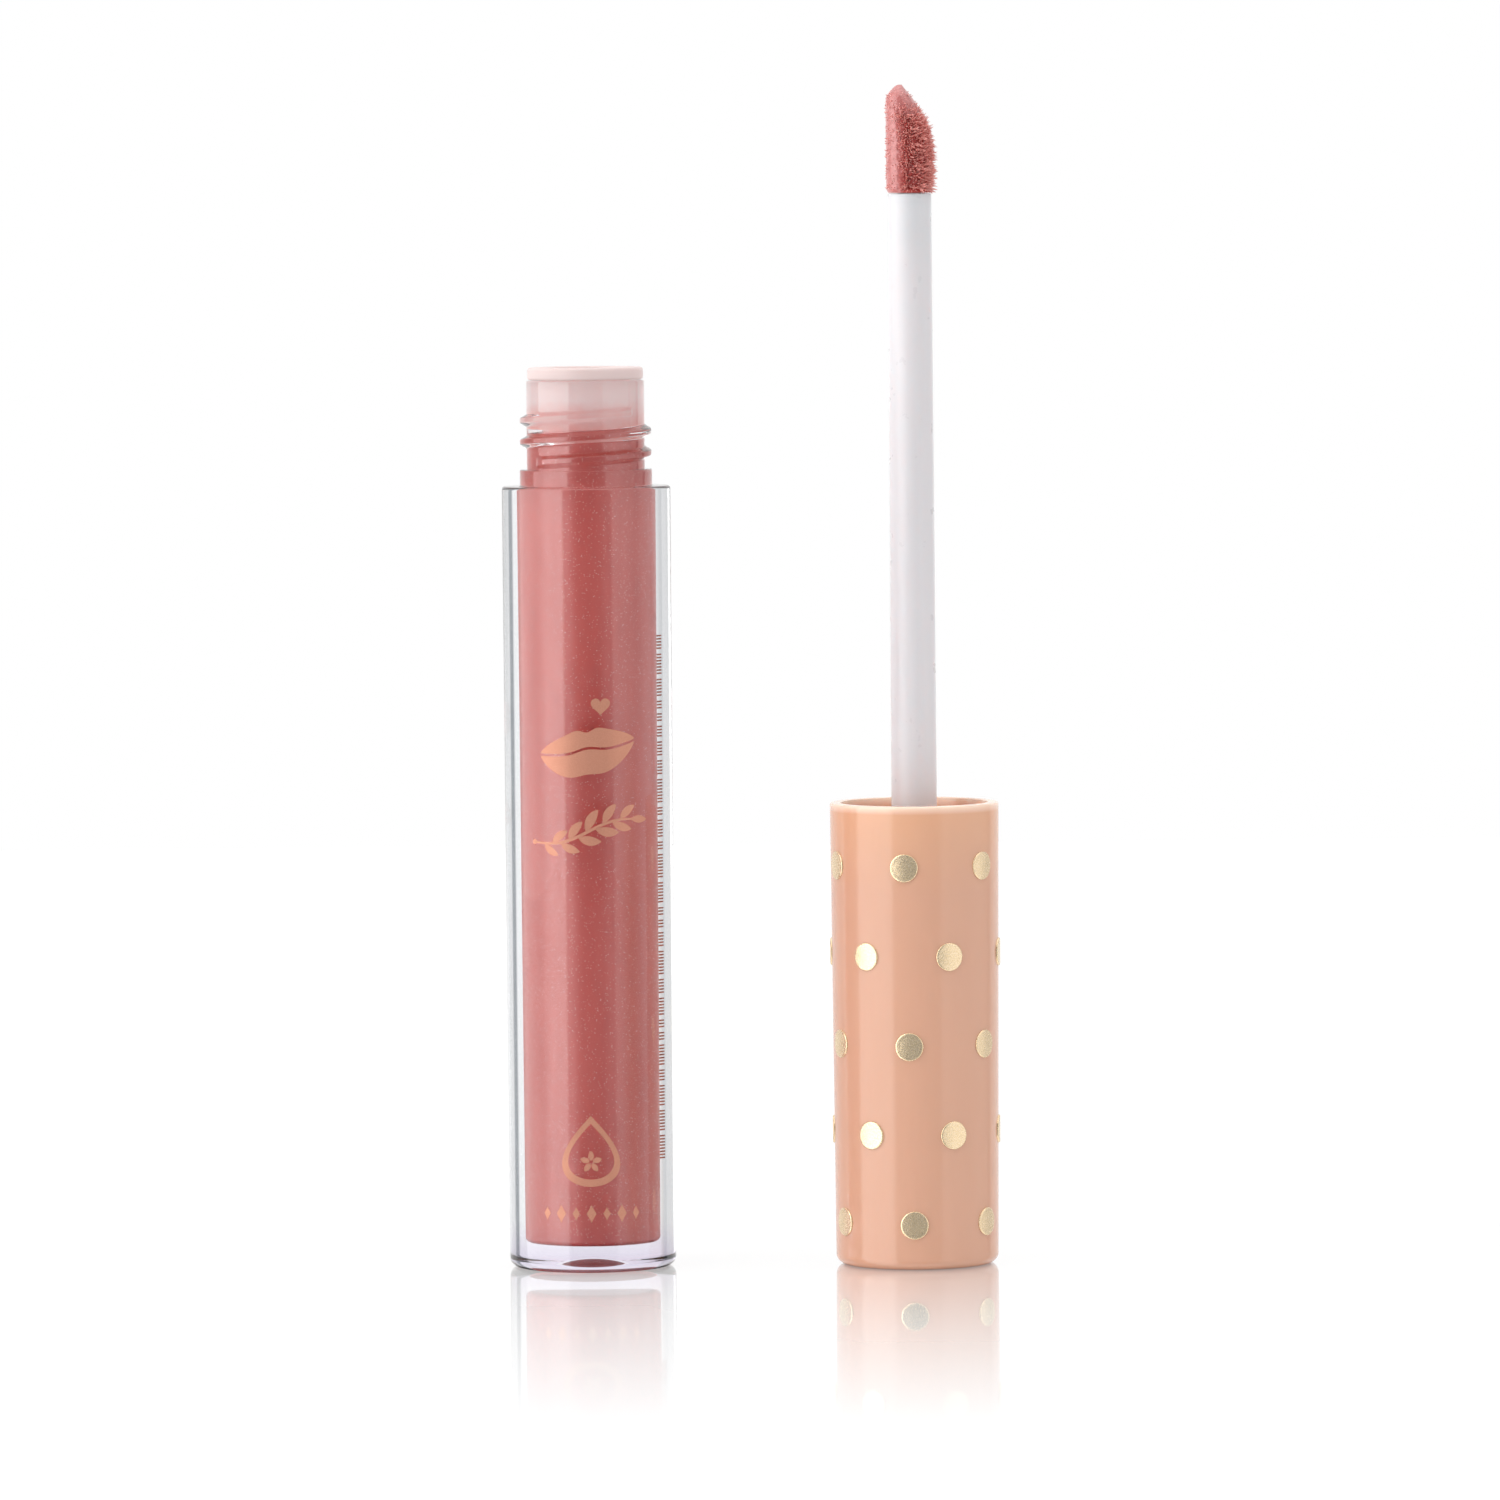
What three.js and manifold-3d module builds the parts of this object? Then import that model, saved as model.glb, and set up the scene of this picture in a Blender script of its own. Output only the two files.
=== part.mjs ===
// Lip gloss tube: a clear, thick-walled screw bottle and its cap with wand, opened, the cap
// standing on its crown beside the bottle. Millimetres, +Z up, X through both axes, origin on
// the table, in the middle between the two pieces' outsides.
import * as THREE from "three";
import { mergeVertices } from "three/addons/utils/BufferGeometryUtils.js";
import Module from "manifold-3d";

const wasm = await Module();
wasm.setup();

// ---- driving dimensions: bottle ----
const bottleRadius = 8.08; // at the shoulder
const bottleDraft = 0.09; // how much narrower it is at the foot
const shoulderHeight = 75.0; // table to the flat shoulder that the cap's rim closes on
const shoulderEdge = 0.25; // rounding of the shoulder's outer edge
const footRounding = 0.9; // rounding between the side wall and the foot ring
const footRingWidth = 1.5; // flat ring that the bottle stands on
const baseRecessDepth = 0.45;
const baseRecessSlope = 0.3; // how far the recess wall leans in
const gateWellRadius = 2.45; // a shallow dome in the middle of the recess, round the mould's gate
const gateWellDepth = 0.6;
const labelThickness = 0.15;
const boreRadius = 4.25; // at the mouth, where the core pin is widest
const boreDraft = 0.13; // how much narrower the bore is at its floor
const boreFloorRounding = 0.5;
const baseThickness = 2.4; // clear plastic under the gloss
const neckRadius = 5.65;
const collarStep = 0.7; // how far the collar under the thread stands out from the neck
const collarHeight = 1.6;
const neckHeight = 8.5; // above the collar

// ---- driving dimensions: screw thread, right-handed, one start ----
const threadPitch = 2.06;
const threadDepth = 0.65;
const threadTurns = 2.3;
const threadRootWidth = 1.3;
const threadCrestWidth = 0.45;
const threadStartAngle = 215; // degrees from +X, at the front left of the neck
const threadStartLift = 0.75; // middle of the thread's first end above the collar
const threadRunOut = 40; // degrees over which each end fades into the neck
const threadEndSize = 0.12; // share of the full ridge left at its very ends
const threadRoot = 0.25; // how deep the ridge is rooted in its wall
const threadClearance = 0.12; // between the bottle's thread and the cap's, all round

// ---- driving dimensions: wiper ----
const wiperFlangeInset = 0.1; // flange inside the neck's outline
const wiperFlangeThickness = 1.2;
const wiperFlangeRounding = 0.3;
const wiperDepth = 6.0; // below the neck's rim
const wiperWall = 0.7;
const wiperGrip = 0.16; // how much narrower the stripping lip is than the wand
const wiperLipWall = 0.35;
const wiperConeDepth = 1.4; // height of the cone that ends in the lip

// ---- driving dimensions: cap ----
const capLength = 44.4;
const capTaper = 0.3; // how much narrower the crown is than the rim, in radius
const crownRounding = 1.0;
const rimRounding = 0.2;
const capWall = 1.03;
const crownThickness = 1.6;
const linerWall = 0.55;
const linerMouthGap = 0.3; // closed cap: liner's mouth above the bottle's collar
const linerFloor = 1.3;
const linerBossLength = 4.8;
const linerBossWall = 1.3;
const sealThickness = 0.8;
const sealSqueeze = 0.1; // how far the closed cap presses the washer
const foilDotRows = 5;
const foilDotsPerRow = 6;
const foilDotRadius = 1.35;
const foilDotThickness = 0.12;
const foilDotTopRow = 38.55; // from the crown to the row nearest the rim
const foilDotPitch = 8.55; // from row to row
const foilDotFirstAngle = -98.3; // degrees from +X, first dot of the top row
const foilDotDrift = 1.4; // degrees that each row is turned past the true half step

// ---- driving dimensions: wand ----
const stemRadius = 2.19; // at the cap
const stemTaper = 0.11; // how much thinner it is where the flocked tip begins
const stemReach = 58.3; // beyond the cap's rim
const stemHeadStep = 1.1; // how far the head stands out from the stem
const stemHeadThickness = 0.9;
const coreRootRadius = 1.15; // peg of the tip's core in the stem
const coreRootDepth = 5.0;
const tipLength = 10.35;
const tipOverhang = 0.2; // how far the flock stands out from the stem
const tipNeckInset = 0.02; // flock inside the stem's outline where the two meet
const tipSwell = 0.5; // height over which the flock swells to its full width
const tipSlantStart = 3.4; // where the slanted face leaves the round part
const tipSlantDrop = 2.95; // how far across the tip the slanted face runs
const tipSlantCurve = 2.2; // above 1 the face is hollow at its foot and steep at its end
const tipEndHeight = 1.3; // height of the end, which is cut back on the other side as well
const tipEndCut = 1.3; // how far the end is cut back
const tipEndCurve = 1.1; // above 1 the cut begins softly
const tipEndRoundness = 0.5; // 0 cuts the end straight, 1 rounds it like a quarter circle
const tipEndThinning = 0.85; // share of its depth that the end loses towards its point
const flockThickness = 0.45;
const tipLeastHalf = 0.05; // least half width of any section of the tip

// ---- driving dimensions: fits and arrangement ----
const axisSpacing = 31.2; // bottle axis to cap axis
const slipFit = 0.1; // between pieces that slide into each other
const seatGap = 0.05; // between pieces that rest on each other

// ---- how finely round shapes are divided ----
const wideSegments = 48;
const narrowSegments = 36;
const stemSegments = 24;
const tipSegments = 16;
const tipSteps = 10;
const dotSegments = 12;
const threadSegments = 24; // to one turn
const weldDistance = 1e-4; // corners closer than this are one corner

// ---- derived places ----
const footRadius = bottleRadius - bottleDraft;
const footRingOuter = footRadius - footRounding;
const footRingInner = footRingOuter - footRingWidth;
const baseRecessRadius = footRingInner - baseRecessSlope;
const collarRadius = neckRadius + collarStep;
const collarTop = shoulderHeight + collarHeight;
const neckTop = collarTop + neckHeight;
const wiperTop = neckTop + seatGap + wiperFlangeThickness;
const wiperBottom = neckTop - wiperDepth;
const threadCrestRadius = neckRadius + threadDepth;
const linerBoreRadius = threadCrestRadius + threadClearance;
const linerOuterRadius = linerBoreRadius + linerWall;
const shellBoreRadius = linerOuterRadius + slipFit;
const capRimRadius = shellBoreRadius + capWall;
const capCrownRadius = capRimRadius - capTaper;
const closedRimHeight = shoulderHeight + seatGap;
const linerTop = capLength - (collarTop + linerMouthGap - closedRimHeight);
// heights inside the cap are counted from its crown, so the closed bottle is seen upside down
const sealTop = capLength - (wiperTop - closedRimHeight) + sealSqueeze;
const sealBottom = sealTop - sealThickness;
const linerSeat = sealBottom - seatGap;
const linerFloorBottom = linerSeat - linerFloor;
const linerBossBottom = linerFloorBottom - linerBossLength;
const stemHoleRadius = stemRadius + slipFit;
const stemHeadRadius = stemRadius + stemHeadStep;
const stemTipRadius = stemRadius - stemTaper;
const wiperLipRadius = stemTipRadius - wiperGrip;
const wiperFlangeRadius = neckRadius - wiperFlangeInset;
const tipRadius = stemTipRadius + tipOverhang;
const tipNeckRadius = stemTipRadius - tipNeckInset;
const stemHeadTop = linerBossBottom - seatGap;
const stemBottom = stemHeadTop - stemHeadThickness;
const stemTop = capLength + stemReach;
const tipBase = stemTop + seatGap;
const bottleX = -(axisSpacing + capRimRadius - bottleRadius) / 2;
const capX = bottleX + axisSpacing;

const degrees = Math.PI / 180;

// ---- shape helpers ----

// Points of an arc in a profile, angles in degrees from the outward direction.
function arc(centreR, centreZ, radius, from, to, steps = 4) {
  const points = [];
  for (let i = 0; i <= steps; i += 1) {
    const angle = (from + ((to - from) * i) / steps) * degrees;
    points.push([centreR + radius * Math.cos(angle), centreZ + radius * Math.sin(angle)]);
  }
  return points;
}

// A profile of [radius, height] points turned about +Z.
function turned(profile, segments) {
  const points = profile.map(([r, z]) => new THREE.Vector2(r, z));
  const geometry = new THREE.LatheGeometry(points, segments);
  geometry.rotateX(Math.PI / 2);
  return facingOut(welded(geometry));
}

// A closed ring profile, such as a washer's section, turned about +Z.
function turnedRing(profile, segments) {
  return turned([...profile, profile[0]], segments);
}

function welded(geometry) {
  geometry.deleteAttribute("normal");
  geometry.deleteAttribute("uv");
  const merged = mergeVertices(geometry, weldDistance);
  return withoutSlivers(merged);
}

// Turning a point that lies on the axis leaves triangles with two equal corners.
function withoutSlivers(geometry) {
  const index = geometry.index.array;
  const kept = [];
  for (let i = 0; i < index.length; i += 3) {
    const [a, b, c] = [index[i], index[i + 1], index[i + 2]];
    if (a !== b && b !== c && c !== a) {
      kept.push(a, b, c);
    }
  }
  geometry.setIndex(kept);
  return geometry;
}

function signedVolume(geometry) {
  const position = geometry.attributes.position;
  const index = geometry.index.array;
  const a = new THREE.Vector3();
  const b = new THREE.Vector3();
  const c = new THREE.Vector3();
  let sum = 0;
  for (let i = 0; i < index.length; i += 3) {
    a.fromBufferAttribute(position, index[i]);
    b.fromBufferAttribute(position, index[i + 1]);
    c.fromBufferAttribute(position, index[i + 2]);
    sum += a.dot(b.cross(c)) / 6;
  }
  return sum;
}

// The same body with its faces pointing outwards.
function facingOut(geometry) {
  if (signedVolume(geometry) > 0) {
    return geometry;
  }
  const index = Array.from(geometry.index.array);
  for (let i = 0; i < index.length; i += 3) {
    [index[i + 1], index[i + 2]] = [index[i + 2], index[i + 1]];
  }
  geometry.setIndex(index);
  return geometry;
}

// A closed body through rings of equal length, its two ends filled from a middle point each.
function loft(rings, startMiddle, endMiddle) {
  const count = rings[0].length;
  const corners = [...rings.flat(), startMiddle, endMiddle];
  const start = corners.length - 2;
  const end = corners.length - 1;
  const index = [];
  for (let i = 0; i < count; i += 1) {
    const next = (i + 1) % count;
    for (let ring = 0; ring < rings.length - 1; ring += 1) {
      const low = ring * count;
      const high = low + count;
      index.push(low + i, low + next, high + next);
      index.push(low + i, high + next, high + i);
    }
    const last = (rings.length - 1) * count;
    index.push(start, next, i);
    index.push(end, last + i, last + next);
  }
  const geometry = new THREE.BufferGeometry();
  geometry.setAttribute("position", new THREE.Float32BufferAttribute(corners.flat(), 3));
  geometry.setIndex(index);
  return facingOut(geometry);
}

function toSolid(geometry) {
  return new wasm.Manifold(new wasm.Mesh({
    numProp: 3,
    vertProperties: new Float32Array(geometry.attributes.position.array),
    triVerts: new Uint32Array(geometry.index.array),
  }));
}

function fromSolid(solid) {
  const mesh = solid.getMesh();
  const geometry = new THREE.BufferGeometry();
  geometry.setAttribute("position", new THREE.Float32BufferAttribute(mesh.vertProperties, 3));
  geometry.setIndex(Array.from(mesh.triVerts));
  return geometry;
}

function joined(first, second) {
  return fromSolid(toSolid(first).add(toSolid(second)));
}

function cutFrom(first, second) {
  return fromSolid(toSolid(first).subtract(toSolid(second)));
}

// A right-handed screw ridge on a wall: side is 1 on the outside of a neck, -1 in a bore.
function screwRidge(wallRadius, side, startHeight, startAngle) {
  const steps = Math.round(threadTurns * threadSegments);
  const sweep = threadTurns * 360;
  const rings = [];
  const middles = [];
  for (let i = 0; i <= steps; i += 1) {
    const turn = (sweep * i) / steps;
    const fade = Math.min(1, turn / threadRunOut, (sweep - turn) / threadRunOut);
    const size = threadEndSize + (1 - threadEndSize) * Math.sqrt(fade);
    const angle = (startAngle + turn) * degrees;
    const height = startHeight + (threadPitch * turn) / 360;
    const foot = (threadRootWidth / 2) * size;
    const crest = (threadCrestWidth / 2) * size;
    const reach = wallRadius + side * threadDepth * size;
    const section = [
      [wallRadius - side * threadRoot, -foot],
      [wallRadius, -foot],
      [reach, -crest],
      [reach, crest],
      [wallRadius, foot],
      [wallRadius - side * threadRoot, foot],
    ];
    rings.push(section.map(([r, z]) => [r * Math.cos(angle), r * Math.sin(angle), height + z]));
    middles.push([wallRadius * Math.cos(angle), wallRadius * Math.sin(angle), height]);
  }
  return loft(rings, middles[0], middles[steps]);
}

function piece(name, geometry, finish) {
  const mesh = new THREE.Mesh(geometry, finish);
  mesh.name = name;
  return mesh;
}

// ---- materials ----
const clearPlastic = new THREE.MeshStandardMaterial({
  color: 0xf4f1f2, roughness: 0.05, metalness: 0, transparent: true, opacity: 0.35,
});
const glossLiquid = new THREE.MeshStandardMaterial({ color: 0xc9868c, roughness: 0.25, metalness: 0.1 });
const milkyPlastic = new THREE.MeshStandardMaterial({ color: 0xf3edec, roughness: 0.35, metalness: 0 });
const labelFilm = new THREE.MeshStandardMaterial({ color: 0x8c3f5a, roughness: 0.4, metalness: 0 });
const peachPlastic = new THREE.MeshStandardMaterial({ color: 0xf6b690, roughness: 0.15, metalness: 0 });
const linerPlastic = new THREE.MeshStandardMaterial({ color: 0xf3c7a8, roughness: 0.4, metalness: 0 });
const sealFoam = new THREE.MeshStandardMaterial({ color: 0xf5f2ee, roughness: 0.8, metalness: 0 });
const goldFoil = new THREE.MeshStandardMaterial({ color: 0xdcc58f, roughness: 0.3, metalness: 0.9 });
const stemPlastic = new THREE.MeshStandardMaterial({ color: 0xf2efec, roughness: 0.3, metalness: 0 });
const flockFibre = new THREE.MeshStandardMaterial({ color: 0xd9a6a2, roughness: 0.7, metalness: 0 });

// ---- bottle side ----

// The gate well, a shallow dome in the middle of the hollow under the base, from the axis outwards.
function gateWell() {
  const steps = 4;
  return Array.from({ length: steps + 1 }, (_, i) => {
    const share = i / steps;
    return [gateWellRadius * share, baseRecessDepth + gateWellDepth * (1 - share * share)];
  });
}

function bottleBlank() {
  const floorRadius = boreRadius - boreDraft;
  return turned([
    ...gateWell(),
    [baseRecessRadius, baseRecessDepth],
    [footRingInner, 0],
    ...arc(footRingOuter, footRounding, footRounding, -90, 0),
    ...arc(bottleRadius - shoulderEdge, shoulderHeight - shoulderEdge, shoulderEdge, 0, 90, 3),
    [collarRadius, shoulderHeight],
    [collarRadius, collarTop],
    [neckRadius, collarTop],
    [neckRadius, neckTop],
    [boreRadius, neckTop],
    ...arc(floorRadius - boreFloorRounding, baseThickness + boreFloorRounding,
      boreFloorRounding, 0, -90, 5),
    [0, baseThickness],
  ], wideSegments);
}

function bottle() {
  const ridge = screwRidge(neckRadius, 1, collarTop + threadStartLift, threadStartAngle);
  return piece("bottle", joined(bottleBlank(), ridge), clearPlastic);
}

// The round shade film stuck in the hollow of the base.
function baseLabel() {
  const top = baseRecessDepth - seatGap;
  const radius = baseRecessRadius - slipFit;
  const profile = [[0, top - labelThickness], [radius, top - labelThickness], [radius, top], [0, top]];
  return piece("base_label", turned(profile, narrowSegments), labelFilm);
}

// Gloss stands in the bore up to the wiper's lip, a slip fit clear of the wall.
function gloss() {
  const glossTop = wiperBottom - seatGap;
  const glossBottom = baseThickness + seatGap;
  const wall = boreRadius - slipFit;
  const floorRadius = wall - boreDraft;
  return piece("gloss", turned([
    [0, glossBottom],
    ...arc(floorRadius - boreFloorRounding, glossBottom + boreFloorRounding,
      boreFloorRounding, -90, 0, 5),
    [wall - boreDraft * (wiperDepth / neckTop), glossTop],
    [0, glossTop],
  ], narrowSegments), glossLiquid);
}

function wiper() {
  const sleeve = boreRadius - slipFit;
  const throat = sleeve - wiperWall;
  const coneTop = wiperBottom + wiperConeDepth;
  const seat = neckTop + seatGap;
  const edge = wiperFlangeRadius - wiperFlangeRounding;
  return piece("wiper", turnedRing([
    [wiperLipRadius, wiperBottom],
    [wiperLipRadius + wiperLipWall, wiperBottom],
    [sleeve - boreDraft, coneTop - wiperLipWall],
    [sleeve, seat],
    ...arc(edge, seat + wiperFlangeRounding, wiperFlangeRounding, -90, 0, 3),
    ...arc(edge, wiperTop - wiperFlangeRounding, wiperFlangeRounding, 0, 90, 3),
    [throat, wiperTop],
    [throat, coneTop],
  ], narrowSegments), milkyPlastic);
}

// ---- cap side, crown down ----

function sealingWasher() {
  const inner = stemRadius + slipFit + slipFit;
  const outer = neckRadius;
  const profile = [[inner, sealBottom], [outer, sealBottom], [outer, sealTop], [inner, sealTop]];
  return piece("sealing_washer", turnedRing(profile, narrowSegments), sealFoam);
}

// Outer radius of the tapered cap at a height above its crown.
function capRadiusAt(height) {
  return capCrownRadius + ((capRimRadius - capCrownRadius) * height) / capLength;
}

function capShell() {
  const crownEdge = capRadiusAt(crownRounding) - crownRounding;
  const boreFloorRadius = capCrownRadius - capWall - slipFit;
  return piece("cap_shell", turned([
    [0, 0],
    ...arc(crownEdge, crownRounding, crownRounding, -90, 0),
    ...arc(capRimRadius - rimRounding, capLength - rimRounding, rimRounding, 0, 90, 2),
    [shellBoreRadius, capLength],
    [shellBoreRadius, stemBottom],
    ...arc(boreFloorRadius - crownRounding, crownThickness + crownRounding, crownRounding, 0, -90),
    [0, crownThickness],
  ], wideSegments), peachPlastic);
}

function innerCap() {
  const bossRadius = stemHoleRadius + linerBossWall;
  const blank = turnedRing([
    [stemHoleRadius, linerBossBottom],
    [bossRadius, linerBossBottom],
    [bossRadius, linerFloorBottom],
    [linerOuterRadius, linerFloorBottom],
    [linerOuterRadius, linerTop],
    [linerBoreRadius, linerTop],
    [linerBoreRadius, linerSeat],
    [stemHoleRadius, linerSeat],
  ], narrowSegments);
  // The closed cap's thread runs half a pitch beside the bottle's, so that the two interlock.
  const bottleThreadStart = collarTop + threadStartLift - closedRimHeight;
  const highEnd = capLength - bottleThreadStart + threadPitch / 2;
  const lowEnd = highEnd - threadPitch * threadTurns;
  const ridge = screwRidge(linerBoreRadius, -1, lowEnd, threadStartAngle);
  return piece("inner_cap", joined(blank, ridge), linerPlastic);
}

function wandStem() {
  const socketRadius = coreRootRadius + slipFit;
  const socketFloor = stemTop - coreRootDepth - seatGap;
  return piece("wand_stem", turned([
    [0, stemBottom],
    [stemHeadRadius, stemBottom],
    [stemHeadRadius, stemHeadTop],
    [stemRadius, stemHeadTop],
    [stemRadius, capLength],
    [stemTipRadius, stemTop],
    [socketRadius, stemTop],
    [socketRadius, socketFloor],
    [0, socketFloor],
  ], stemSegments), stemPlastic);
}

// The slanted tip at a height above its foot: how far it reaches left and right, and its
// half depth. Inset shrinks it all round, for the core inside the flock.
function tipOutline(height, inset) {
  const swell = Math.min(1, height / tipSwell);
  const radius = tipNeckRadius + (tipRadius - tipNeckRadius) * Math.sin((swell * Math.PI) / 2);
  const climb = Math.max(0, height - tipSlantStart) / (tipLength - tipSlantStart);
  const right = radius - tipSlantDrop * climb ** tipSlantCurve;
  const end = Math.max(0, height - (tipLength - tipEndHeight)) / tipEndHeight;
  const straightCut = end ** tipEndCurve;
  const roundCut = 1 - Math.sqrt(Math.max(0, 1 - end * end));
  const cut = straightCut + (roundCut - straightCut) * tipEndRoundness;
  const left = -radius + tipEndCut * cut;
  const middle = (left + right) / 2;
  const halfWidth = Math.max(tipLeastHalf, (right - left) / 2 - inset);
  const thinning = 1 - tipEndThinning * end ** 3;
  const fullDepth = radius * Math.sqrt((right - left) / (2 * radius));
  const halfDepth = Math.max(tipLeastHalf, fullDepth * thinning - inset);
  return { middle, halfWidth, halfDepth };
}

function tipRing(height, inset, top) {
  const { middle, halfWidth, halfDepth } = tipOutline(Math.min(height, top), inset);
  const ring = [];
  for (let i = 0; i < tipSegments; i += 1) {
    const angle = (i / tipSegments) * 2 * Math.PI;
    ring.push([
      middle + halfWidth * Math.cos(angle),
      halfDepth * Math.sin(angle),
      tipBase + height,
    ]);
  }
  return ring;
}

// Rings closer together towards the rounded end.
function tipRings(bottom, top, inset) {
  const rings = [];
  for (let i = 0; i <= tipSteps; i += 1) {
    const share = Math.sin(((i / tipSteps) * Math.PI) / 2);
    rings.push(tipRing(bottom + (top - bottom) * share, inset, top));
  }
  return rings;
}

function middleOf(ring) {
  const sum = ring.reduce(([x, y, z], point) => [x + point[0], y + point[1], z + point[2]]);
  return sum.map((value) => value / ring.length);
}

function tipBody(bottom, top, inset) {
  const rings = tipRings(bottom, top, inset);
  return loft(rings, middleOf(rings[0]), middleOf(rings[tipSteps]));
}

// The core's peg sits in the stem's socket; its blade carries the flock.
function applicatorCore() {
  const inset = flockThickness + slipFit;
  const blade = tipBody(0, tipLength - inset, inset);
  const pegOverlap = 0.5;
  const peg = turned([
    [0, stemTop - coreRootDepth],
    [coreRootRadius, stemTop - coreRootDepth],
    [coreRootRadius, tipBase + pegOverlap],
    [0, tipBase + pegOverlap],
  ], stemSegments);
  return piece("applicator_core", joined(blade, peg), milkyPlastic);
}

function flocking() {
  const outside = tipBody(0, tipLength, 0);
  const openBelow = 1;
  const inside = tipBody(-openBelow, tipLength - flockThickness, flockThickness);
  return piece("flocking", cutFrom(outside, inside), flockFibre);
}

// One thin foil disc that follows the cap's side.
function foilDot(row, column) {
  const height = foilDotTopRow - row * foilDotPitch;
  const step = 360 / foilDotsPerRow;
  const stagger = row % 2 === 0 ? 0 : step / 2;
  const centre = foilDotFirstAngle + column * step + stagger + row * foilDotDrift;
  const onSide = (along, up, lift) => {
    const radius = capRadiusAt(height + up);
    const angle = centre * degrees + along / radius;
    const reach = radius + seatGap + lift;
    return [reach * Math.cos(angle), reach * Math.sin(angle), height + up];
  };
  const ringAt = (radius, lift) => Array.from({ length: dotSegments }, (_, i) => {
    const angle = (i / dotSegments) * 2 * Math.PI;
    return onSide(radius * Math.cos(angle), radius * Math.sin(angle), lift);
  });
  const rings = [ringAt(foilDotRadius, 0), ringAt(foilDotRadius, foilDotThickness)];
  const name = `foil_dot_${row + 1}_${column + 1}`;
  return piece(name, loft(rings, onSide(0, 0, 0), onSide(0, 0, foilDotThickness)), goldFoil);
}

// ---- assembly ----
const bottleGroup = new THREE.Group();
bottleGroup.position.x = bottleX;
bottleGroup.add(bottle(), baseLabel(), gloss(), wiper());

const capGroup = new THREE.Group();
capGroup.position.x = capX;
capGroup.add(capShell(), innerCap(), sealingWasher(), wandStem(), applicatorCore(), flocking());
for (let row = 0; row < foilDotRows; row += 1) {
  for (let column = 0; column < foilDotsPerRow; column += 1) {
    capGroup.add(foilDot(row, column));
  }
}

const lipGlossTube = new THREE.Group();
lipGlossTube.add(bottleGroup, capGroup);
export default lipGlossTube;
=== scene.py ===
# %% [markdown]
# # A lip gloss tube, opened
#
# Two things stand on a table: a clear, thick-walled bottle full of pearly gloss, and its cap,
# crown down, with the wand pointing up. A fixed CAD model says where every piece is. This
# script only makes the fine surface: round edges, the screw thread, clear plastic that bends
# light, foil, and a flocked tip wet with gloss. It first loads the fixed model. Nothing made here
# may be larger.

# %% Load the fixed model
import math
import random

import bmesh
import bpy
import numpy as np
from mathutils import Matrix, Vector, noise


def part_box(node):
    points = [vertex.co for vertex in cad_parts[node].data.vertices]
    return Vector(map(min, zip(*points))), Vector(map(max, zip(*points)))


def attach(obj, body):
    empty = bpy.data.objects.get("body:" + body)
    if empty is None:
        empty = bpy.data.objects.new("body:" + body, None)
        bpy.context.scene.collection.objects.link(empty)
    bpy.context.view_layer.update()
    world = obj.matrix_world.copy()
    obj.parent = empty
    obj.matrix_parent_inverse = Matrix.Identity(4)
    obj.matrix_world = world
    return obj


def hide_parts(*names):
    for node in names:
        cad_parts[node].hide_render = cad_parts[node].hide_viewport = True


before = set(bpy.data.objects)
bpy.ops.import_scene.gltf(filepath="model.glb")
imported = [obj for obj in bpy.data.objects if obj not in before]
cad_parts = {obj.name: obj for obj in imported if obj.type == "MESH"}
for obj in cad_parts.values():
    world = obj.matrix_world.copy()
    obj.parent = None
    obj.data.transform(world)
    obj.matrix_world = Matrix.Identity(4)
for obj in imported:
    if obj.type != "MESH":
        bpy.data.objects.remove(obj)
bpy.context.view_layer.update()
MM = 0.001

# %% [markdown]
# ## Where the two axes are
#
# Everything on this object is turned about one of two upright axes. Each axis is the middle of
# a CAD node's box, so reading it from the frame keeps the pieces in place if the model moves.

# %% Find the axes
def axis_of(node):
    """The upright axis through the middle of a CAD node, as x and y."""
    low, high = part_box(node)
    return ((low.x + high.x) / 2, (low.y + high.y) / 2)


bottle_axis = axis_of("wiper")
cap_axis = axis_of("wand_stem")
print("bottle axis at", [round(v / MM, 2) for v in bottle_axis], "mm")
print("cap axis at", [round(v / MM, 2) for v in cap_axis], "mm")

# %% [markdown]
# ## Camera
#
# A long lens from about a metre away keeps the two tubes almost parallel. The camera stands a
# little above the bottle's mouth and looks down by a few degrees, so the foot of each tube shows
# as a soft curve. It is turned about its own axis by half a degree, as a hand-set camera is.

# %% Make the camera
CAMERA_PLACE = (-0.12 * MM, -998.5 * MM, 107.7 * MM)
CAMERA_DOWN = 3.336
CAMERA_ROLL = -0.4885
SENSOR = 36.0
FOCAL_LENGTH = 250.2

camera_data = bpy.data.cameras.new("camera")
camera_data.sensor_width = SENSOR
camera_data.lens = FOCAL_LENGTH
camera_data.clip_start = 0.01
camera_data.clip_end = 20
camera = bpy.data.objects.new("camera", camera_data)
bpy.context.scene.collection.objects.link(camera)
camera.location = CAMERA_PLACE
camera.rotation_mode = "YXZ"
camera.rotation_euler = (math.radians(90 - CAMERA_DOWN), 0, 0)
camera.rotation_euler.rotate_axis("Z", math.radians(CAMERA_ROLL))
bpy.context.scene.camera = camera
bpy.context.scene.view_settings.view_transform = "Standard"
print("lens", FOCAL_LENGTH, "mm")

# %% [markdown]
# ## Turned shapes
#
# A lathe shape is a profile of radius and height carried round an axis. Blender has a Screw
# modifier for that, but a helper in mesh code also lets the radius change with the angle, which
# the screw thread needs. Every profile closes on the axis or on itself, so each piece is one
# watertight body. Edges sharper than a limit are marked sharp, and the rest is shaded smooth.

# %% Helpers for turned shapes
SHARP_EDGE = math.radians(38)


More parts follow.
